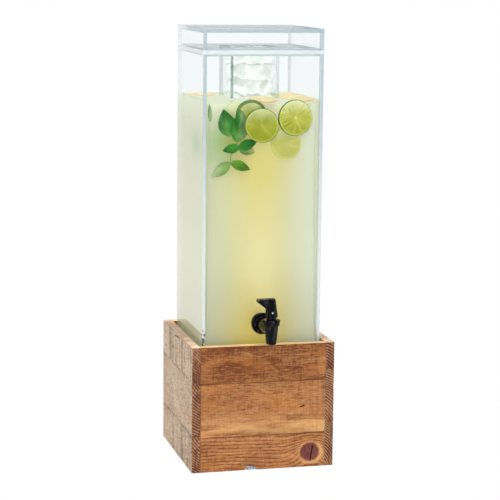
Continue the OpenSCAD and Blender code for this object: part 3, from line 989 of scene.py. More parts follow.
def reflecting_edge(finish, place, shade, acrylic, of_chamber):
    """Shade of an edge: on the tank, with the crate's painted reflection on its corner; on the ice chamber,
    paler to the right by painted light, with a painted dark reflection on its corner.
    """
    if not of_chamber:
        return finish.mix(CRATE_REFLECTION.mask(finish, place), shade, acrylic.crate_reflection)
    # On the ice chamber: painted light, paler to the right, and a painted dark reflection on its corner
    shade = finish.mix(finish.smooth(place[0], *LIT_RIGHTWARD) * 0.6, shade, acrylic.lit_far_edge)
    return finish.mix(CHAMBER_REFLECTION.mask(finish, place), shade, acrylic.chamber_reflection)


def acrylic_finish(name, axis, acrylic, of_chamber=False, edge_high=None, grazing=0.0, drink=None):
    """Clear sheet whose broad faces lie square to an axis, with blue-grey polished edges.

    A wall that holds the drink shows its colour, with its painted light and glow, where it is seen aslant, as
    light bends in the sheet.
    """
    finish = Finish(name)
    place = finish.place()
    z = place[2]
    facing = finish.node("ShaderNodeLayerWeight", None, {"Blend": 0.5}, "Facing")
    aslant = facing**5
    clear = finish.node("ShaderNodeBsdfTransparent", None, {"Color": rgba(acrylic.tint)})
    mirror = finish.node("ShaderNodeBsdfGlossy", None, {"Color": WHITE, "Roughness": 0.02})
    face = finish.blend(MIRROR_LEAST + aslant * MIRROR_ASLANT, clear, mirror)

    cloud = finish.speckle(place, 9)
    height = finish.smooth(z + (cloud - 0.5) * 0.12, *HIGH_EDGES)
    # Painted light: the edges at the back are paler and clearer
    far = finish.smooth(place[1], *LIT_FAR_EDGES)
    shade = finish.mix(height, acrylic.edge_low, edge_high or acrylic.edge_high)
    shade = finish.mix(far * 0.75, shade, acrylic.lit_far_edge)
    edge = finish.principled(
        Base_Color=reflecting_edge(finish, place, shade, acrylic, of_chamber),
        Roughness=0.08 + cloud * 0.1,
        Alpha=0.80 + height * 0.05 - far * 0.35,
    )
    if grazing:
        face = finish.blend(aslant * grazing, face, edge)
    if drink:
        # Drink film: the drink's painted light and shade, with a painted glow
        colour = drink_colour(finish, place, drink)
        film = finish.principled(
            Base_Color=finish.dimmed(DRINK_DULL, colour),
            Roughness=0.03 + cloud * 0.04,
            Emission_Color=finish.dimmed(1 - FILM_GLOW, colour),
            Emission_Strength=1.0,
        )
        filled = finish.smooth(z, drink.level + 0.3 * MM, drink.level - 0.3 * MM)
        face = finish.blend(finish.smooth(facing, 0.4, 1.0) * filled, face, film)
    broad = finish.smooth(abs(finish.facing()[axis]), 0.75, 0.97)
    return finish.done(finish.blend(broad, edge, face))


def plain_sheet(bm, low, high):
    """Box from low to high. Returns the edges that are polished."""
    bmesh.ops.create_cube(bm, size=1.0)
    for vert in bm.verts:
        share = vert.co + Vector((0.5, 0.5, 0.5))
        vert.co = Vector(low[i] + share[i] * (high[i] - low[i]) for i in range(3))
    return list(bm.edges)


def holed_sheet(bm, low, high, centre, radius):
    """Box from low to high with a round hole along Y. Returns the edges that are polished."""
    outline = [(low.x, low.z), (high.x, low.z), (high.x, high.z), (low.x, high.z)]
    turns = [2 * math.pi * i / HOLE_TURNS for i in range(HOLE_TURNS)]
    hole = [(centre.x + radius * math.cos(turn), centre.z + radius * math.sin(turn)) for turn in turns]
    for loop in (outline, hole):
        verts = [bm.verts.new((px, low.y, pz)) for px, pz in loop]
        for i, vert in enumerate(verts):
            bm.edges.new((vert, verts[(i + 1) % len(verts)]))
    bmesh.ops.triangle_fill(bm, edges=bm.edges, use_beauty=True)
    made = bmesh.ops.extrude_face_region(bm, geom=bm.faces)
    moved = [item for item in made["geom"] if isinstance(item, bmesh.types.BMVert)]
    bmesh.ops.translate(bm, verts=moved, vec=(0, high.y - low.y, 0))
    bmesh.ops.recalc_face_normals(bm, faces=bm.faces)
    ends = [vert for vert in bm.verts if min(abs(vert.co.x - low.x), abs(vert.co.x - high.x)) < 1e-7]
    bm.normal_update()
    rims = [edge for edge in bm.edges if all(vert in ends for vert in edge.verts)]
    return [edge for edge in rims if edge.calc_face_angle(0) > 1]


def sheet_mesh(name, low, high, acrylic, hole=None):
    """Sheet with polished corners, and with a round hole where its centre and radius are given."""
    seam = Vector((acrylic.seam,) * 3)
    bm = bmesh.new()
    if hole:
        rims = holed_sheet(bm, low + seam, high - seam, *hole)
    else:
        rims = plain_sheet(bm, low + seam, high - seam)
    bmesh.ops.bevel(bm, geom=rims, offset=acrylic.polish, segments=2, profile=0.5, affect="EDGES")
    return mesh_from(name, bm)


class DISPENSER_OT_clear_sheets(bpy.types.Operator):
    """Cuts the clear sheets of tank, ice chamber and lid, with polished edges"""

    bl_idname = "dispenser.clear_sheets"
    bl_label = "Clear sheets"

    def execute(self, context):
        acrylic = context.scene.dispenser_acrylic
        drink = context.scene.dispenser_drink
        dry = [acrylic_finish(f"clear_acrylic_{letter}", axis, acrylic) for axis, letter in enumerate("xy")]
        dry.append(acrylic_finish("clear_acrylic_z", 2, acrylic, grazing=LID_GRAZING))
        of_chamber, full = [], []
        for axis, letter in enumerate("xyz"):
            of_chamber.append(acrylic_finish(f"wet_acrylic_{letter}", axis, acrylic, of_chamber=True))
        for axis, letter in enumerate("xy"):
            full.append(acrylic_finish(f"tank_acrylic_{letter}", axis, acrylic, drink=drink))
        finishes = {"tank": full + dry[2:], "ice_chamber": of_chamber, "lid": dry}
        washer_low, washer_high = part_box("outer_washer")
        shank = (washer_low + washer_high) / 2
        for body, nodes in SHEETS.items():
            for node in nodes:
                low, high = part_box(node)
                size = high - low
                axis = min(range(3), key=lambda i: size[i])
                hole = (shank, SHANK_HOLE) if node == "tank_front" else None
                mesh = sheet_mesh(node, low, high, acrylic, hole)
                mesh.materials.append(finishes[body][axis])
                add_piece(f"{node}_sheet", mesh, body, [node], smooth=False)
        flange = acrylic_finish("clear_acrylic_flange", 2, acrylic, edge_high=acrylic.edge_flange)
        assign("chamber_flange", flange)
        return {"FINISHED"}


# Drink

ARC_STEPS = 10
# Rises above the level, each with its inset from the film
MENISCUS = ((0.8 * MM, 0.0), (0.35 * MM, 0.7 * MM), (0.1 * MM, 1.7 * MM), (0.0, 3.5 * MM))
SKIN_ROUNDING = 1.0 * MM
SKIN_ALPHA = 0.012
# Cloudy body inside the skin, which clears at front and back from a height on
CLOUD_INSET, CLOUD_ROUNDING = 1.5 * MM, 2.5 * MM
CLOUD_FOOT_RISE, CLOUD_FOOT_INSET = 0.5 * MM, 3 * MM
CLOUD_LOW, CLOUD_HIGH, CLOUD_ROWS = 3.5 * MM, 8 * MM, 60
CLOUD_SHOULDER = ((5.2 * MM, 1.2 * MM), (4.0 * MM, 4.0 * MM))
CLEARING_START, CLEARING_HEIGHT, CLEARING_DEPTH = 0.240, 0.175, 10.5 * MM


def drink_finish(name, drink, alpha=None):
    """Cloudy drink with a painted glow in its colour and a brighter painted top face; clear in front where an
    alpha is given.
    """
    finish = Finish(name)
    place = finish.place()
    face_x, _, face_z = finish.facing()
    colour = drink_colour(finish, place, drink)
    grain = finish.speckle(place, 60)
    # Painted light: the top face is less dimmed and glows in the surface colour
    top = finish.smooth(face_z, 0.5, 0.9)
    sockets = {
        "Base_Color": finish.dimmed(DRINK_DULL + top * (1 - DRINK_DULL), colour),
        "Roughness": 0.3 + grain * 0.2,
        "Specular": 0.0,
        "Emission_Color": finish.mix(top, finish.dimmed(1 - DRINK_GLOW, colour), drink.surface),
        "Emission_Strength": 1.0,
    }
    if alpha is not None:
        sockets["Alpha"] = alpha + finish.smooth(abs(face_x), 0.3, 0.8) * 0.93 + top * 0.94
    return finish.done(finish.principled(**sockets))


def drink_body(name, half, stations, material):
    """Stack of rounded rectangles, each with its height, insets and corner radius, closed at both ends."""
    points = []
    for height, inset_x, inset_y, rounding in stations:
        arm_x, arm_y = half - inset_x - rounding, half - inset_y - rounding
        for corner, (sign_x, sign_y) in enumerate(((1, 1), (-1, 1), (-1, -1), (1, -1))):
            for step in range(ARC_STEPS + 1):
                angle = math.pi / 2 * (corner + step / ARC_STEPS)
                across, deep = rounding * math.cos(angle), rounding * math.sin(angle)
                points.append((sign_x * arm_x + across, sign_y * arm_y + deep, height))
    return mesh_of(name, points, tube_faces(len(stations), 4 * (ARC_STEPS + 1)), material)


def eased(share):
    """Rises smoothly from 0 to 1 as the share does."""
    share = min(1.0, max(0.0, share))
    return share * share * (3 - 2 * share)


class DISPENSER_OT_drink(bpy.types.Operator):
    """Fills the tank with a cloudy drink, clearer just behind its front and back near the surface"""

    bl_idname = "dispenser.drink"
    bl_label = "Drink"

    def execute(self, context):
        drink = context.scene.dispenser_drink
        floor_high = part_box("tank_floor")[1]
        half = floor_high.x
        bottom, level, film = floor_high.z + drink.film, drink.level, drink.film
        clear = [(bottom, film, film, SKIN_ROUNDING)]
        for rise, inward in MENISCUS:
            inset = film + inward
            clear.append((level + rise, inset, inset, SKIN_ROUNDING))
        material = drink_finish("drink_skin", drink, SKIN_ALPHA)
        add_piece("drink_skin", drink_body("drink_skin", half, clear, material), "tank", smooth=False)

        inset = CLOUD_INSET + CLOUD_FOOT_INSET
        cloudy = [(bottom + CLOUD_FOOT_RISE, inset, inset, CLOUD_ROUNDING)]
        for height in np.linspace(bottom + CLOUD_LOW, level - CLOUD_HIGH, CLOUD_ROWS):
            cleared = CLEARING_DEPTH * eased((height - CLEARING_START) / CLEARING_HEIGHT)
            cloudy.append((height, CLOUD_INSET, CLOUD_INSET + cleared, CLOUD_ROUNDING))
        for drop, inward in CLOUD_SHOULDER:
            inset = CLOUD_INSET + inward
            cloudy.append((level - drop, inset, inset + CLEARING_DEPTH, CLOUD_ROUNDING))
        material = drink_finish("drink", drink)
        add_piece("drink", drink_body("drink", half, cloudy, material), "tank")
        return {"FINISHED"}


# Fruit


class Slice(NamedTuple):
    """A fruit slice: middle, the way its face looks, spin, radius and contrast of its cells.

    Also the share of it that the drink hides, where its peel starts and the painted glow that stands in for
    light coming through it.
    """

    centre: tuple
    normal: tuple
    spin: float
    radius: float
    cells: float
    hidden: float = 0.0
    peel: float = 0.955
    glow: float = 0.0


class FruitColours(NamedTuple):
    """Colours of a fruit, from its peel inwards."""

    rind: tuple
    pith: tuple
    pulp: tuple
    pale: tuple


LIMES = {
    "lime_slice_right": Slice((0.0492, -0.0775, 0.5050), (0.10, -0.99, 0.02), 0.2, 0.0256, 1.0),
    "lime_slice_middle": Slice((0.0000, -0.0782, 0.4948), (-0.10, -0.99, 0.03), 0.5, 0.0243, 0.35),
    "lime_slice_low": Slice((0.0370, -0.0735, 0.4680), (0.00, -1.00, 0.04), 1.1, 0.0220, 0.3, 0.30, 1.2),
    "lime_slice_behind": Slice((-0.0145, -0.0727, 0.509), (-0.02, -0.99, -0.12), 0, 0.0225, 0.3, 0.05, 0.80),
    "lime_slice_left": Slice((-0.0370, -0.0712, 0.5075), (0.03, -0.99, 0.02), 0.8, 0.0205, 0.4, 0.36, 0.90),
    "lime_slice_back": Slice((-0.0200, 0.0775, 0.5000), (0.06, 0.99, 0.06), 0.6, 0.0250, 0.8),
}
LEMONS = {
    "lemon_slice_front": Slice((0.0060, -0.0598, 0.5302), (0.03, -0.12, 0.99), 0.4, 0.0205, 0.8, glow=0.12),
    "lemon_slice_right": Slice((0.0560, -0.0240, 0.5304), (0.03, -0.05, 0.99), 1.0, 0.0240, 0.8, glow=0.38),
    "lemon_slice_corner": Slice((0.0640, -0.0605, 0.5302), (-0.04, -0.10, 0.99), 0.3, 0.0165, 0.8, glow=0.18),
    "lemon_slice_far": Slice((0.0580, 0.0260, 0.5300), (-0.02, 0.02, 0.99), 0.1, 0.0225, 0.8, glow=0.38),
    "lemon_slice_left": Slice((-0.0590, 0.0480, 0.5299), (0.02, 0.01, 0.99), 0.7, 0.0205, 0.8, glow=0.38),
}
SEGMENTS = 10
SLICE_TURNS = 100
SLICE_REACHES = (0.03, 0.07, 0.12, 0.2, 0.32, 0.44, 0.56, 0.68, 0.78, 0.85, 0.89, 0.93)
PEEL_BEVEL = 0.9 * MM
PEEL_ANGLES = (0.2, 0.7, 1.2)
CELL_SINK, CELL_GRAIN = 0.00035, 0.00012
VEIL_HEIGHT = 0.5


def citrus_finish(name, cut, up, drink, garnish, fruit):
    """Cut face of a citrus slice: segments, fibres, membranes, pith and peel, paler on its upper side by
    painted light, and with a painted glow.
    """
    finish = Finish(name)
    place = finish.place()
    x, y, _ = place
    reach = (x * x + y * y).math("SQRT") / cut.radius
    lift = (x * up.x + y * up.y) / cut.radius
    turn = finish.math("ARCTAN2", y, x) * (SEGMENTS / (2 * math.pi))
    wall = abs(turn.math("FRACT") - 0.5) * 2
    away = reach * cut.radius + 1e-5
    fibre = finish.noise(finish.vector(x / away * 15, y / away * 15, reach * 2.4), 3.0, 0.6)
    drop = finish.speckle(place, 420)
    patch = finish.speckle(place, 60)
    tone = (fibre - 0.45) * (2.6 * cut.cells) + (drop - 0.5) * 0.6 + (patch - 0.5) * 1.2
    # Painted light: the flesh is paler towards the slice's top
    flesh = finish.mix(tone + cut.cells * (0.34 + lift * 0.22) - 0.06, fruit.pulp, fruit.pale)
    core = finish.smooth(reach, 0.42, 0.05)
    flesh = finish.mix(core * (0.02 + cut.cells * 0.28), flesh, fruit.pale)
    membrane = finish.smooth(wall + reach * 0.08, 0.95, 1.06) * finish.smooth(reach, 0.06, 0.2)
    flesh = finish.mix(membrane * (0.40 * cut.cells), flesh, garnish.membrane)
    star = finish.smooth(reach + (fibre - 0.5) * 0.12, 0.13, 0.05)
    colour = finish.mix(star * (0.35 * cut.cells), flesh, garnish.star)
    pith = finish.smooth(reach, 0.86, 0.92)
    colour = finish.mix(pith * (0.35 + cut.cells * 0.3), colour, fruit.pith)
    # Painted light: paler on the upper side
    upper = finish.smooth(lift + (patch - 0.5) * 0.6, 0.0, 1.2)
    colour = finish.mix(upper * (0.34 + cut.cells * 0.20), colour, drink.surface)
    peel = finish.smooth(reach + (drop - 0.5) * 0.02, cut.peel, cut.peel + 0.03)
    colour = finish.mix(peel * (1 - 1.5 * cut.hidden), colour, fruit.rind)
    veil = drink.surface if cut.centre[2] > VEIL_HEIGHT else drink.middle
    colour = finish.mix(cut.hidden, colour, veil) if cut.hidden else colour
    relief = fibre * 0.5 + drop * 0.5 - membrane * 0.4
    # Painted glow in the slice's colour, stronger where the drink hides it and where light comes through
    shader = finish.principled(
        Base_Color=finish.dimmed(0.3 + cut.glow * 0.5, colour) if cut.glow else colour,
        Roughness=0.24 + drop * 0.2,
        Specular=0.2,
        Emission_Color=colour,
        Emission_Strength=0.16 + 0.3 * cut.hidden + cut.glow,
        Normal=finish.bump(relief, 0.35 * cut.cells, 0.0006),
    )
    return finish.done(shader)


def slice_profile(radius, half):
    """Outline of a slice from its upper middle over its rounded peel to its lower middle."""
    upper = [(radius * share, half) for share in SLICE_REACHES]
    for angle in PEEL_ANGLES:
        inward, down = PEEL_BEVEL * (1 - math.sin(angle)), PEEL_BEVEL * (1 - math.cos(angle))
        upper.append((radius - inward, half - down))
    lower = [(reach, -height) for reach, height in reversed(upper)]
    return upper + [(radius, half * 0.3), (radius, -half * 0.3)] + lower


def slice_mesh(name, radius, thickness, material, seed):
    """Fruit slice round Z, with sunk segments between raised membranes and a rounded peel."""
    half = thickness / 2
    profile = slice_profile(radius, half)
    points = []
    for across, height in profile:
        share = across / radius
        flesh = max(0.0, min(1.0, (0.86 - share) * 9, (share - 0.05) * 9))
        for i in range(SLICE_TURNS):
            angle = 2 * math.pi * i / SLICE_TURNS
            spot = Vector((math.cos(angle), math.sin(angle), 0))
            uneven = 1 + 0.018 * noise.noise(spot * 1.4 + Vector((seed, 0, 0)))
            cell = abs((angle * SEGMENTS / (2 * math.pi)) % 1 - 0.5) * 2
            dish = max(0.0, 1 - cell**6) * flesh
            grain = noise.noise(spot * across * 700 + Vector((0, 0, seed)))
            sink = (CELL_SINK + CELL_GRAIN * grain) * dish * math.copysign(1, height)
            points.append((spot.x * across * uneven, spot.y * across * uneven, height - sink))
    faces = [face[::-1] for face in tube_faces(len(profile), SLICE_TURNS, closed=False)]
    upper, last = len(points), len(points) - SLICE_TURNS
    points += [(0, 0, half), (0, 0, -half)]
    for i in range(SLICE_TURNS):
        after = (i + 1) % SLICE_TURNS
        faces.append([upper, i, after])
        faces.append([upper + 1, last + after, last + i])
    return mesh_of(name, points, faces, material)


def looking(centre, normal, spin):
    """Matrix that puts a piece's origin at centre and turns its Z axis along normal."""
    turn = Vector(normal).to_track_quat("Z", "Y").to_matrix().to_4x4()
    return Matrix.Translation(centre) @ turn @ Matrix.Rotation(spin, 4, "Z")


class DISPENSER_OT_fruit(bpy.types.Operator):
    """Cuts the lime and lemon slices that float in the drink"""

    bl_idname = "dispenser.fruit"
    bl_label = "Fruit slices"

    def execute(self, context):
        garnish = context.scene.dispenser_garnish
        drink = context.scene.dispenser_drink
        lime = FruitColours(garnish.lime_rind, garnish.lime_pith, garnish.lime_pulp, garnish.lime_pale)
        lemon = FruitColours(garnish.lemon_rind, garnish.lemon_pale, garnish.lemon_pulp, garnish.lemon_pale)
        for seed, (name, cut) in enumerate({**LIMES, **LEMONS}.items()):
            fruit, thickness = (lime, garnish.lime_cut) if name in LIMES else (lemon, garnish.lemon_cut)
            matrix = looking(cut.centre, cut.normal, cut.spin)
            up = matrix.to_3x3().inverted() @ Vector((0, 0, 1))
            material = citrus_finish(name, cut, up, drink, garnish, fruit)
            mesh = slice_mesh(name, cut.radius, thickness, material, seed)
            add_piece(name, mesh, "tank", matrix=matrix)
        return {"FINISHED"}


# Mint


class Leaf(NamedTuple):
    """A mint leaf from its base to its tip, with its width and the way its face looks."""

    base: tuple
    tip: tuple
    width: float
    normal: tuple


SPRIGS = {
    "mint_sprig_front": [
        Leaf((-0.0460, -0.0765, 0.4790), (-0.0560, -0.0790, 0.5180), 0.0240, (-0.18, -0.98, 0.06)),
        Leaf((-0.0355, -0.0764, 0.4710), (-0.0295, -0.0774, 0.5175), 0.0265, (0.20, -0.97, 0.04)),
        Leaf((-0.0325, -0.0785, 0.4650), (-0.0565, -0.0795, 0.4595), 0.0130, (0.02, -0.97, 0.22)),
        Leaf((-0.0340, -0.0785, 0.4630), (-0.0065, -0.0795, 0.4735), 0.0145, (0.02, -0.97, 0.22)),
        Leaf((-0.0340, -0.0755, 0.4640), (-0.0080, -0.0738, 0.4560), 0.0150, (0.02, -0.98, 0.18)),
        Leaf((-0.0450, -0.0785, 0.4430), (-0.0165, -0.0795, 0.4325), 0.0140, (-0.02, -0.97, 0.20)),
        Leaf((-0.0450, -0.0765, 0.4430), (-0.0715, -0.0722, 0.4210), 0.0155, (-0.10, -0.98, 0.14)),
        Leaf((-0.0735, -0.0738, 0.5000), (-0.0750, -0.0740, 0.5260), 0.0055, (-0.10, -0.99, 0.05)),
    ],
    "mint_sprig_back": [
        Leaf((0.0300, 0.0765, 0.4700), (0.0480, 0.0790, 0.5020), 0.0220, (0.10, 0.98, 0.10)),
        Leaf((0.0300, 0.0765, 0.4700), (0.0080, 0.0785, 0.4640), 0.0140, (0.00, 0.97, 0.20)),
        Leaf((0.0300, 0.0765, 0.4700), (0.0420, 0.0780, 0.4440), 0.0150, (0.05, 0.97, 0.20)),
    ],
}
STEMS = {
    "mint_sprig_front": [
        (-0.0370, -0.0760, 0.4800),
        (-0.0345, -0.0780, 0.4635),
        (-0.0445, -0.0780, 0.4530),
        (-0.0450, -0.0780, 0.4420),
    ],
    "mint_sprig_back": [(0.0340, 0.0755, 0.4980), (0.0300, 0.0762, 0.4700), (0.0330, 0.0758, 0.4440)],
}
LEAF_ROWS, LEAF_COLUMNS = 45, 15
LEAF_TEETH = 9
LEAF_HALF_THICKNESS = 0.00028
FADE_START, FADE_END = 0.0035, 0.0115
LOWER_LEAVES = (0.458, 0.438)
STEM_SIDES, STEM_STEPS = 8, 6
STEM_RADIUS = 0.9 * MM


def leaf_finish(name, garnish, drink, half):
    """Mint leaf, pale along its veins, that fades into the drink the deeper it lies behind a wall."""
    finish = Finish(name)
    u, v = finish.split(finish.node("ShaderNodeUVMap", {"uv_map": "leaf"}))[:2]
    off = abs(v - 0.5) * 2
    place = finish.place()
    x, y, z = place
    mottle = finish.speckle(place, 320, 3.0, 0.6)
    broad = finish.speckle(place, 70)
    rib = abs(((u - off * 0.20) * LEAF_TEETH).math("FRACT") - 0.5) * 2
    vein = finish.smooth(rib, 0.80, 1.0) * finish.smooth(off, 1.0, 0.7)
    midrib = finish.smooth(off, 0.10, 0.02)
    lower = finish.smooth(z, *LOWER_LEAVES)
    to_base = finish.smooth(u, 0.95, 0.15)
    tone = (mottle - 0.5) * 1.6 + (broad - 0.5) * 1.6 + vein * 0.4 + midrib * 0.6
    tone = tone + 0.12 + lower * 0.22 + to_base * 0.45
    leaf = finish.mix(tone, garnish.leaf_dark, finish.mix(lower, garnish.leaf_light, garnish.leaf_warm))
    wall = (half - abs(x)).math("MINIMUM", half - abs(y))
    faded = finish.smooth(wall + (broad - 0.5) * 0.003, FADE_START, FADE_END)
    cloud = finish.mix(0.5, drink_colour(finish, place, drink), drink.mint)
    # Painted glow, as in the drink: the leaf's dimmed colour, turning to the drink's where the leaf fades
    shader = finish.principled(
        Base_Color=finish.mix(faded, leaf, finish.dimmed(DRINK_DULL, cloud)),
        Roughness=0.35 + mottle * 0.2,
        Specular=0.08,
        Emission_Color=finish.mix(faded, finish.dimmed(0.8, leaf), cloud),
        Emission_Strength=DRINK_GLOW,
        Alpha=1 - faded * finish.smooth(off, 0.35, 1.0),
        Normal=finish.bump(mottle * 0.4 - vein * 0.6 - midrib * 0.5, 0.8, 0.0010),
    )
    return finish.done(shader)


def add_leaf(bm, layer, leaf, seed):
    """Adds one toothed, folded and quilted leaf to a mesh."""
    base, tip = Vector(leaf.base), Vector(leaf.tip)
    length = (tip - base).length
    along = (tip - base).normalized()
    side = Vector(leaf.normal).cross(along).normalized()
    face = along.cross(side)
    grid = {}
    for skin in (1, -1):
        for row in range(LEAF_ROWS):
            u = row / (LEAF_ROWS - 1)
            tooth = 1 + 0.06 * abs(math.sin(u * LEAF_TEETH * math.pi))
            half = leaf.width / 2 * math.sin(math.pi * u**0.82) ** 0.85 * tooth
            for column in range(LEAF_COLUMNS):
                v = 2 * column / (LEAF_COLUMNS - 1) - 1
                across = v * half
                wave = math.sin((u - abs(v) * 0.2) * 2 * LEAF_TEETH * math.pi)
                lift = abs(across) * 0.16 - 0.10 * length * (u - 0.45) ** 2
                lift += 0.09 * leaf.width * wave * abs(v) * (1 - abs(v))
                lift += 0.05 * leaf.width * noise.noise(Vector((u * 3, v * 2, seed)))
                lift += skin * LEAF_HALF_THICKNESS * (1 - v * v) * math.sin(math.pi * u) ** 0.5
                spot = base + along * (u * length) + side * across + face * lift
                grid[skin, row, column] = (bm.verts.new(spot), (u, (v + 1) / 2))
    for skin in (1, -1):
        for row in range(LEAF_ROWS - 1):
            for column in range(LEAF_COLUMNS - 1):
                keys = [(row, column), (row + 1, column), (row + 1, column + 1), (row, column + 1)]
                keys = keys if skin == 1 else keys[::-1]
                quad = [grid[skin, *key] for key in keys]
                made = bm.faces.new([vert for vert, _ in quad])
                for loop, (_, uv) in zip(made.loops, quad):
                    loop[layer].uv = uv


def stem_mesh(name, route, material):
    """Thin stem along a route, thicker at its joints and thinner at its end."""
    path = []
    for start, end in zip(route, route[1:]):
        path += [Vector(start).lerp(Vector(end), i / STEM_STEPS) for i in range(STEM_STEPS)]
    path.append(Vector(route[-1]))
    points = []
    for i, spot in enumerate(path):
        ahead = (path[min(i + 1, len(path) - 1)] - path[max(i - 1, 0)]).normalized()
        side = ahead.cross(Vector((0.3, 1, 0.1))).normalized()
        other = ahead.cross(side)
        radius = STEM_RADIUS * (1 - 0.4 * i / len(path)) * (1.25 if i % STEM_STEPS == 0 else 1)
        for k in range(STEM_SIDES):
            angle = 2 * math.pi * k / STEM_SIDES
            points.append(spot + (side * math.cos(angle) + other * math.sin(angle)) * radius)
    return mesh_of(name, points, tube_faces(len(path), STEM_SIDES), material)


def stem_finish(name, garnish):
    """Mottled green stem."""
    finish = Finish(name)
    mottle = finish.speckle(finish.place(), (500, 500, 120))
    shader = finish.principled(
        Base_Color=finish.mix(mottle, garnish.stem, garnish.leaf_light),
        Roughness=0.4 + mottle * 0.2,
        Normal=finish.bump(mottle, 0.3, 0.0003),
    )
    return finish.done(shader)


class DISPENSER_OT_mint(bpy.types.Operator):
    """Grows the mint sprigs that hang in the drink"""

    bl_idname = "dispenser.mint"
    bl_label = "Mint sprigs"

    def execute(self, context):
        garnish = context.scene.dispenser_garnish
        drink = context.scene.dispenser_drink
        material = leaf_finish("mint_leaf", garnish, drink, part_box("tank_floor")[1].x)
        stalk = stem_finish("mint_stem", garnish)
        for sprig, leaves in SPRIGS.items():
            bm = bmesh.new()
            layer = bm.loops.layers.uv.new("leaf")
            for seed, leaf in enumerate(leaves):
                add_leaf(bm, layer, leaf, seed * 2.3)
            bmesh.ops.remove_doubles(bm, verts=bm.verts, dist=1e-6)
            bmesh.ops.dissolve_degenerate(bm, edges=bm.edges, dist=1e-7)
            add_piece(f"{sprig}_leaves", mesh_from(f"{sprig}_leaves", bm, material), "tank")
            add_piece(f"{sprig}_stem", stem_mesh(f"{sprig}_stem", STEMS[sprig], stalk), "tank")
        return {"FINISHED"}


# Ice

ICE_SPARE = 0.6 * MM
ICE_ACROSS = 3
ICE_SIZES, ICE_MELT = (0.95, 1.15), (0.12, 0.24)
ICE_TILT, ICE_SHIFT, ICE_DENT = 0.6, 0.12, 0.16


def ice_finish(name, ice):
    """Frosted, cracked ice with a painted glow that stands in for the light inside it."""
    finish = Finish(name)
    place = finish.place()
    cloud = finish.speckle(place, 70, 3.0, 0.6)
    crack = finish.speckle(place, (260, 260, 90), 3.0, 0.7)
    frost = finish.smooth(cloud, 0.36, 0.62)
    colour = finish.mix(frost, ice.clear, ice.white)
    colour = finish.mix(finish.smooth(crack, 0.56, 0.70) * 0.5, colour, ice.crack)
    # Painted light: the glow is weaker and the base darker on up-facing faces
    upward = finish.smooth(finish.facing()[2], 0.1, 0.9)
    shader = finish.principled(
        Base_Color=finish.dimmed(0.7 + upward * 0.15, colour),
        Roughness=0.12 + frost * 0.3,
        Emission_Color=finish.dimmed(upward * 0.38, colour),
        Emission_Strength=0.98,
        Normal=finish.bump(cloud * 0.6 + crack * 0.4, 0.5, 0.0015),
    )
    return finish.done(shader)


def add_cube(bm, draw, edge, low, high, middle):
    """Adds one melted ice cube, turned and dented at random, and moved to lie between low and high."""
    size = edge * draw.uniform(*ICE_SIZES)
    made = bmesh.ops.create_cube(bm, size=size)
    faces = list({face for vert in made["verts"] for face in vert.link_faces})
    edges = list({side for face in faces for side in face.edges})
    melt = size * draw.uniform(*ICE_MELT)
    bevelled = bmesh.ops.bevel(bm, geom=edges, offset=melt, segments=3, profile=0.5, affect="EDGES")
    verts = {vert for face in bevelled["faces"] for vert in face.verts}
    verts |= {vert for face in faces if face.is_valid for vert in face.verts}
    turn = Matrix.Identity(3)
    turns = {"X": (-ICE_TILT, ICE_TILT), "Y": (-ICE_TILT, ICE_TILT), "Z": (0, math.pi / 2)}
    for axis, limits in turns.items():
        turn = turn @ Matrix.Rotation(draw.uniform(*limits), 3, axis)
    shift = Vector(draw.uniform(-1, 1) for _ in range(3)) * edge * ICE_SHIFT
    seed = Vector((draw.uniform(0, 50), 0, 0))
    for vert in verts:
        dented = vert.co * (1 + ICE_DENT * noise.noise(vert.co * 90 + seed))
        vert.co = low + middle + shift + turn @ dented
    for axis in range(3):
        reach = [vert.co[axis] for vert in verts]
        push = max(0.0, low[axis] - min(reach)) - max(0.0, max(reach) - high[axis])
        for vert in verts:
            vert.co[axis] += push


class DISPENSER_OT_ice(bpy.types.Operator):
    """Fills the ice chamber with melting cubes"""

    bl_idname = "dispenser.ice"
    bl_label = "Ice"

    def execute(self, context):
        ice = context.scene.dispenser_ice
        draw = random.Random(ice.seed)
        floor_low, floor_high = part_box("chamber_floor")
        flange_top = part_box("chamber_flange")[1].z
        low = Vector((floor_low.x + ICE_SPARE, floor_low.y + ICE_SPARE, floor_high.z + ICE_SPARE))
        high = Vector((floor_high.x - ICE_SPARE, floor_high.y - ICE_SPARE, flange_top - ICE_SPARE))
        pitch = (high.x - low.x) / ICE_ACROSS
        bm = bmesh.new()
        for layer in range(round((high.z - low.z) / pitch)):
            for i in range(ICE_ACROSS):
                for j in range(ICE_ACROSS):
                    middle = Vector((i + 0.5, j + 0.5, layer + 0.5)) * pitch
                    add_cube(bm, draw, ice.cube, low, high, middle)
        add_piece("ice_cubes", mesh_from("ice_cubes", bm, ice_finish("melting_ice", ice)), "ice_chamber")
        return {"FINISHED"}


# Tap


def plastic_finish(name, tap):
    """Glossy moulded plastic with faint flow lines and finger marks."""
    finish = Finish(name)
    place = finish.place()
    flow = finish.speckle(place, (160, 160, 60), 3.0, 0.55)
    marks = finish.speckle(place, 55, 3.0, 0.6)
    sheen = finish.speckle(place, (210, 210, 34))
    shader = finish.principled(
        Base_Color=finish.mix(marks * 0.4, tap.plastic, tap.finger_marks),
        Roughness=0.10 + finish.smooth(marks, 0.45, 0.7) * 0.12,
        Specular=0.05,
        Coat_Weight=finish.smooth(sheen, 0.48, 0.66) * 0.40,
        Coat_Roughness=0.06,
        Normal=finish.bump(flow, 0.06, 0.0008),
    )
    return finish.done(shader)


def rubber_finish(name, colour, dust):
    """Matt rubber with a fine grain."""
    finish = Finish(name)
    grain = finish.speckle(finish.place(), 1600)
    shader = finish.principled(
        Base_Color=finish.mix(grain * 0.4, colour, dust),
        Roughness=0.6 + grain * 0.2,
        Normal=finish.bump(grain, 0.3, 0.0002),
    )
    return finish.done(shader)


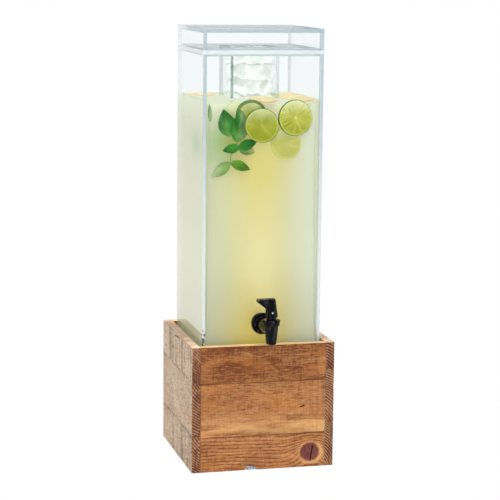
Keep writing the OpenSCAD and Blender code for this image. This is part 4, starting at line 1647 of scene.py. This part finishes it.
class DISPENSER_OT_tap(bpy.types.Operator):
    """Finishes the tap's plastic, rubber, silicone and steel pieces"""

    bl_idname = "dispenser.tap"
    bl_label = "Tap"

    def execute(self, context):
        tap = context.scene.dispenser_tap
        plastic = plastic_finish("black_plastic", tap)
        for node in ("tap_body", "bonnet", "lever", "valve_stem", "lock_nut"):
            assign(node, plastic)
        rubber = rubber_finish("black_rubber", tap.rubber, tap.dust)
        for node in ("outer_washer", "inner_washer"):
            assign(node, rubber)
        assign("seat_cup", rubber_finish("silicone", tap.silicone, tap.dust))
        assign("pivot_pin", steel_finish("bright_pin", tap))
        return {"FINISHED"}


# Stage


class Lamp(NamedTuple):
    """A rectangular studio light: its place, the point it looks at and its size."""

    place: tuple
    target: tuple
    size: tuple


LIGHTS = {
    "key": Lamp((-1.9, -1.5, 1.5), (0.0, 0.0, 0.25), (1.6, 1.6)),
    "top": Lamp((-0.1, -0.7, 2.2), (0.0, 0.0, 0.2), (1.5, 1.5)),
    "back": Lamp((0.9, 1.6, 2.4), (0.0, 0.0, 0.35), (1.6, 1.6)),
    "strip": Lamp((-0.9, -1.7, 0.9), (0.0, -0.1, 0.22), (0.12, 1.1)),
}
FLOOR_REACH = 40
FLOOR_DROP = 0.2 * MM
FLOOR_GLOW = 0.27
SKY_DIM, SKY_FULL = 0.30, 1.85
SKY_AHEAD, SKY_OVERHEAD = 0.26, 0.74


def add_floor(stage):
    """Pale floor that is seen as plain white, and whose light reaches the object from below."""
    reach = FLOOR_REACH
    corners = [(-reach, -reach, 0), (reach, -reach, 0), (reach, reach, 0), (-reach, reach, 0)]
    finish = Finish("pale_floor")
    cloud = finish.speckle(finish.place(), (3, 3, 1))
    lit = finish.principled(
        Base_Color=finish.mix(cloud * 0.2, stage.floor, stage.floor_cloud),
        Roughness=0.9,
        Specular=0.0,
        Emission_Color=WHITE,
        Emission_Strength=FLOOR_GLOW,
    )
    plain = finish.node("ShaderNodeEmission", None, {"Color": WHITE})
    seen = finish.node("ShaderNodeLightPath", output="Is Camera Ray")
    shader = finish.blend(seen, lit, plain)
    mesh = mesh_of("floor", corners, [(0, 1, 2, 3)], finish.done(shader))
    floor = bpy.data.objects.new("floor", mesh)
    floor.location.z = -FLOOR_DROP
    bpy.context.scene.collection.objects.link(floor)


def add_lights(scene, stage):
    """Rectangular lights with the powers of the stage's settings."""
    for name, light in LIGHTS.items():
        lamp = bpy.data.lights.new(f"{name}_light", "AREA")
        lamp.energy = getattr(stage, name)
        lamp.shape = "RECTANGLE"
        lamp.size, lamp.size_y = light.size
        holder = bpy.data.objects.new(f"{name}_light", lamp)
        aim = (Vector(light.target) - Vector(light.place)).to_track_quat("-Z", "Y")
        holder.matrix_world = Matrix.Translation(light.place) @ aim.to_matrix().to_4x4()
        scene.collection.objects.link(holder)


def add_sky(scene, stage):
    """Light from all around: bright overhead, grey at the horizon, dark behind the camera, seen as white."""
    sky = bpy.data.worlds.new("studio_sky")
    sky.use_nodes = True
    tree = Nodes(sky.node_tree)
    _, y, z = tree.split(tree.node("ShaderNodeTexCoord", output="Generated"))
    overhead = tree.smooth(z, 0.15, 0.75)
    ahead = tree.smooth(y, -0.75, 0.25)
    backgrounds = []
    for strength in (stage.sky * SKY_DIM, stage.sky * SKY_FULL, 1.0):
        backgrounds.append(tree.node("ShaderNodeBackground", None, {"Color": WHITE, "Strength": strength}))
    dim, full, plain = backgrounds
    lit = tree.blend(ahead * SKY_AHEAD + overhead * SKY_OVERHEAD, dim, full)
    seen = tree.node("ShaderNodeLightPath", output="Is Camera Ray")
    tree.output("ShaderNodeOutputWorld", tree.blend(seen, lit, plain))
    scene.world = sky


def add_camera(scene):
    """Camera at the photograph's place and angle."""
    lens = bpy.data.cameras.new("photo_camera")
    lens.sensor_width = SENSOR_WIDTH
    lens.lens = FOCAL_PIXELS / FRAME_PIXELS * SENSOR_WIDTH
    level = Vector((math.cos(CAMERA_YAW), -math.sin(CAMERA_YAW), 0))
    ahead = Vector((math.sin(CAMERA_YAW), math.cos(CAMERA_YAW), 0))
    forward = ahead * math.cos(CAMERA_PITCH) - Vector((0, 0, 1)) * math.sin(CAMERA_PITCH)
    upright = level.cross(forward)
    right = level * math.cos(CAMERA_ROLL) + upright * math.sin(CAMERA_ROLL)
    up = upright * math.cos(CAMERA_ROLL) - level * math.sin(CAMERA_ROLL)
    camera = bpy.data.objects.new("photo_camera", lens)
    turn = Matrix((right, up, -forward)).transposed().to_4x4()
    camera.matrix_world = Matrix.Translation(CAMERA_PLACE) @ turn
    scene.collection.objects.link(camera)
    scene.camera = camera


class DISPENSER_OT_stage(bpy.types.Operator):
    """Sets up the floor, lights, sky and camera"""

    bl_idname = "dispenser.stage"
    bl_label = "Stage"

    def execute(self, context):
        stage = context.scene.dispenser_stage
        add_floor(stage)
        add_lights(context.scene, stage)
        add_sky(context.scene, stage)
        add_camera(context.scene)
        context.scene.view_settings.view_transform = "Standard"
        return {"FINISHED"}


class DISPENSER_PT_parts(bpy.types.Panel):
    """Lists the steps that dress the dispenser"""

    bl_idname = "DISPENSER_PT_parts"
    bl_label = "Beverage dispenser"
    bl_space_type = "VIEW_3D"
    bl_region_type = "UI"
    bl_category = "Dispenser"

    def draw(self, context):
        for operator in OPERATORS:
            self.layout.operator(operator.bl_idname)


SETTINGS = {
    "dispenser_crate": CrateSettings,
    "dispenser_acrylic": AcrylicSettings,
    "dispenser_drink": DrinkSettings,
    "dispenser_garnish": GarnishSettings,
    "dispenser_ice": IceSettings,
    "dispenser_tap": TapSettings,
    "dispenser_stage": StageSettings,
}
OPERATORS = (
    DISPENSER_OT_stage,
    DISPENSER_OT_crate_boards,
    DISPENSER_OT_crate_inside,
    DISPENSER_OT_glide,
    DISPENSER_OT_clear_sheets,
    DISPENSER_OT_drink,
    DISPENSER_OT_fruit,
    DISPENSER_OT_mint,
    DISPENSER_OT_ice,
    DISPENSER_OT_tap,
)


def register():
    """Adds the classes and the scene's settings."""
    for cls in (*SETTINGS.values(), *OPERATORS, DISPENSER_PT_parts):
        bpy.utils.register_class(cls)
    for name, group in SETTINGS.items():
        setattr(bpy.types.Scene, name, PointerProperty(type=group))


def unregister():
    """Takes the settings and the classes away again."""
    for name in SETTINGS:
        delattr(bpy.types.Scene, name)
    for cls in reversed((*SETTINGS.values(), *OPERATORS, DISPENSER_PT_parts)):
        bpy.utils.unregister_class(cls)


def main():
    """Runs every step in order."""
    register()
    for operator in OPERATORS:
        group, step = operator.bl_idname.split(".")
        getattr(getattr(bpy.ops, group), step)()


if __name__ == "__main__":
    main()
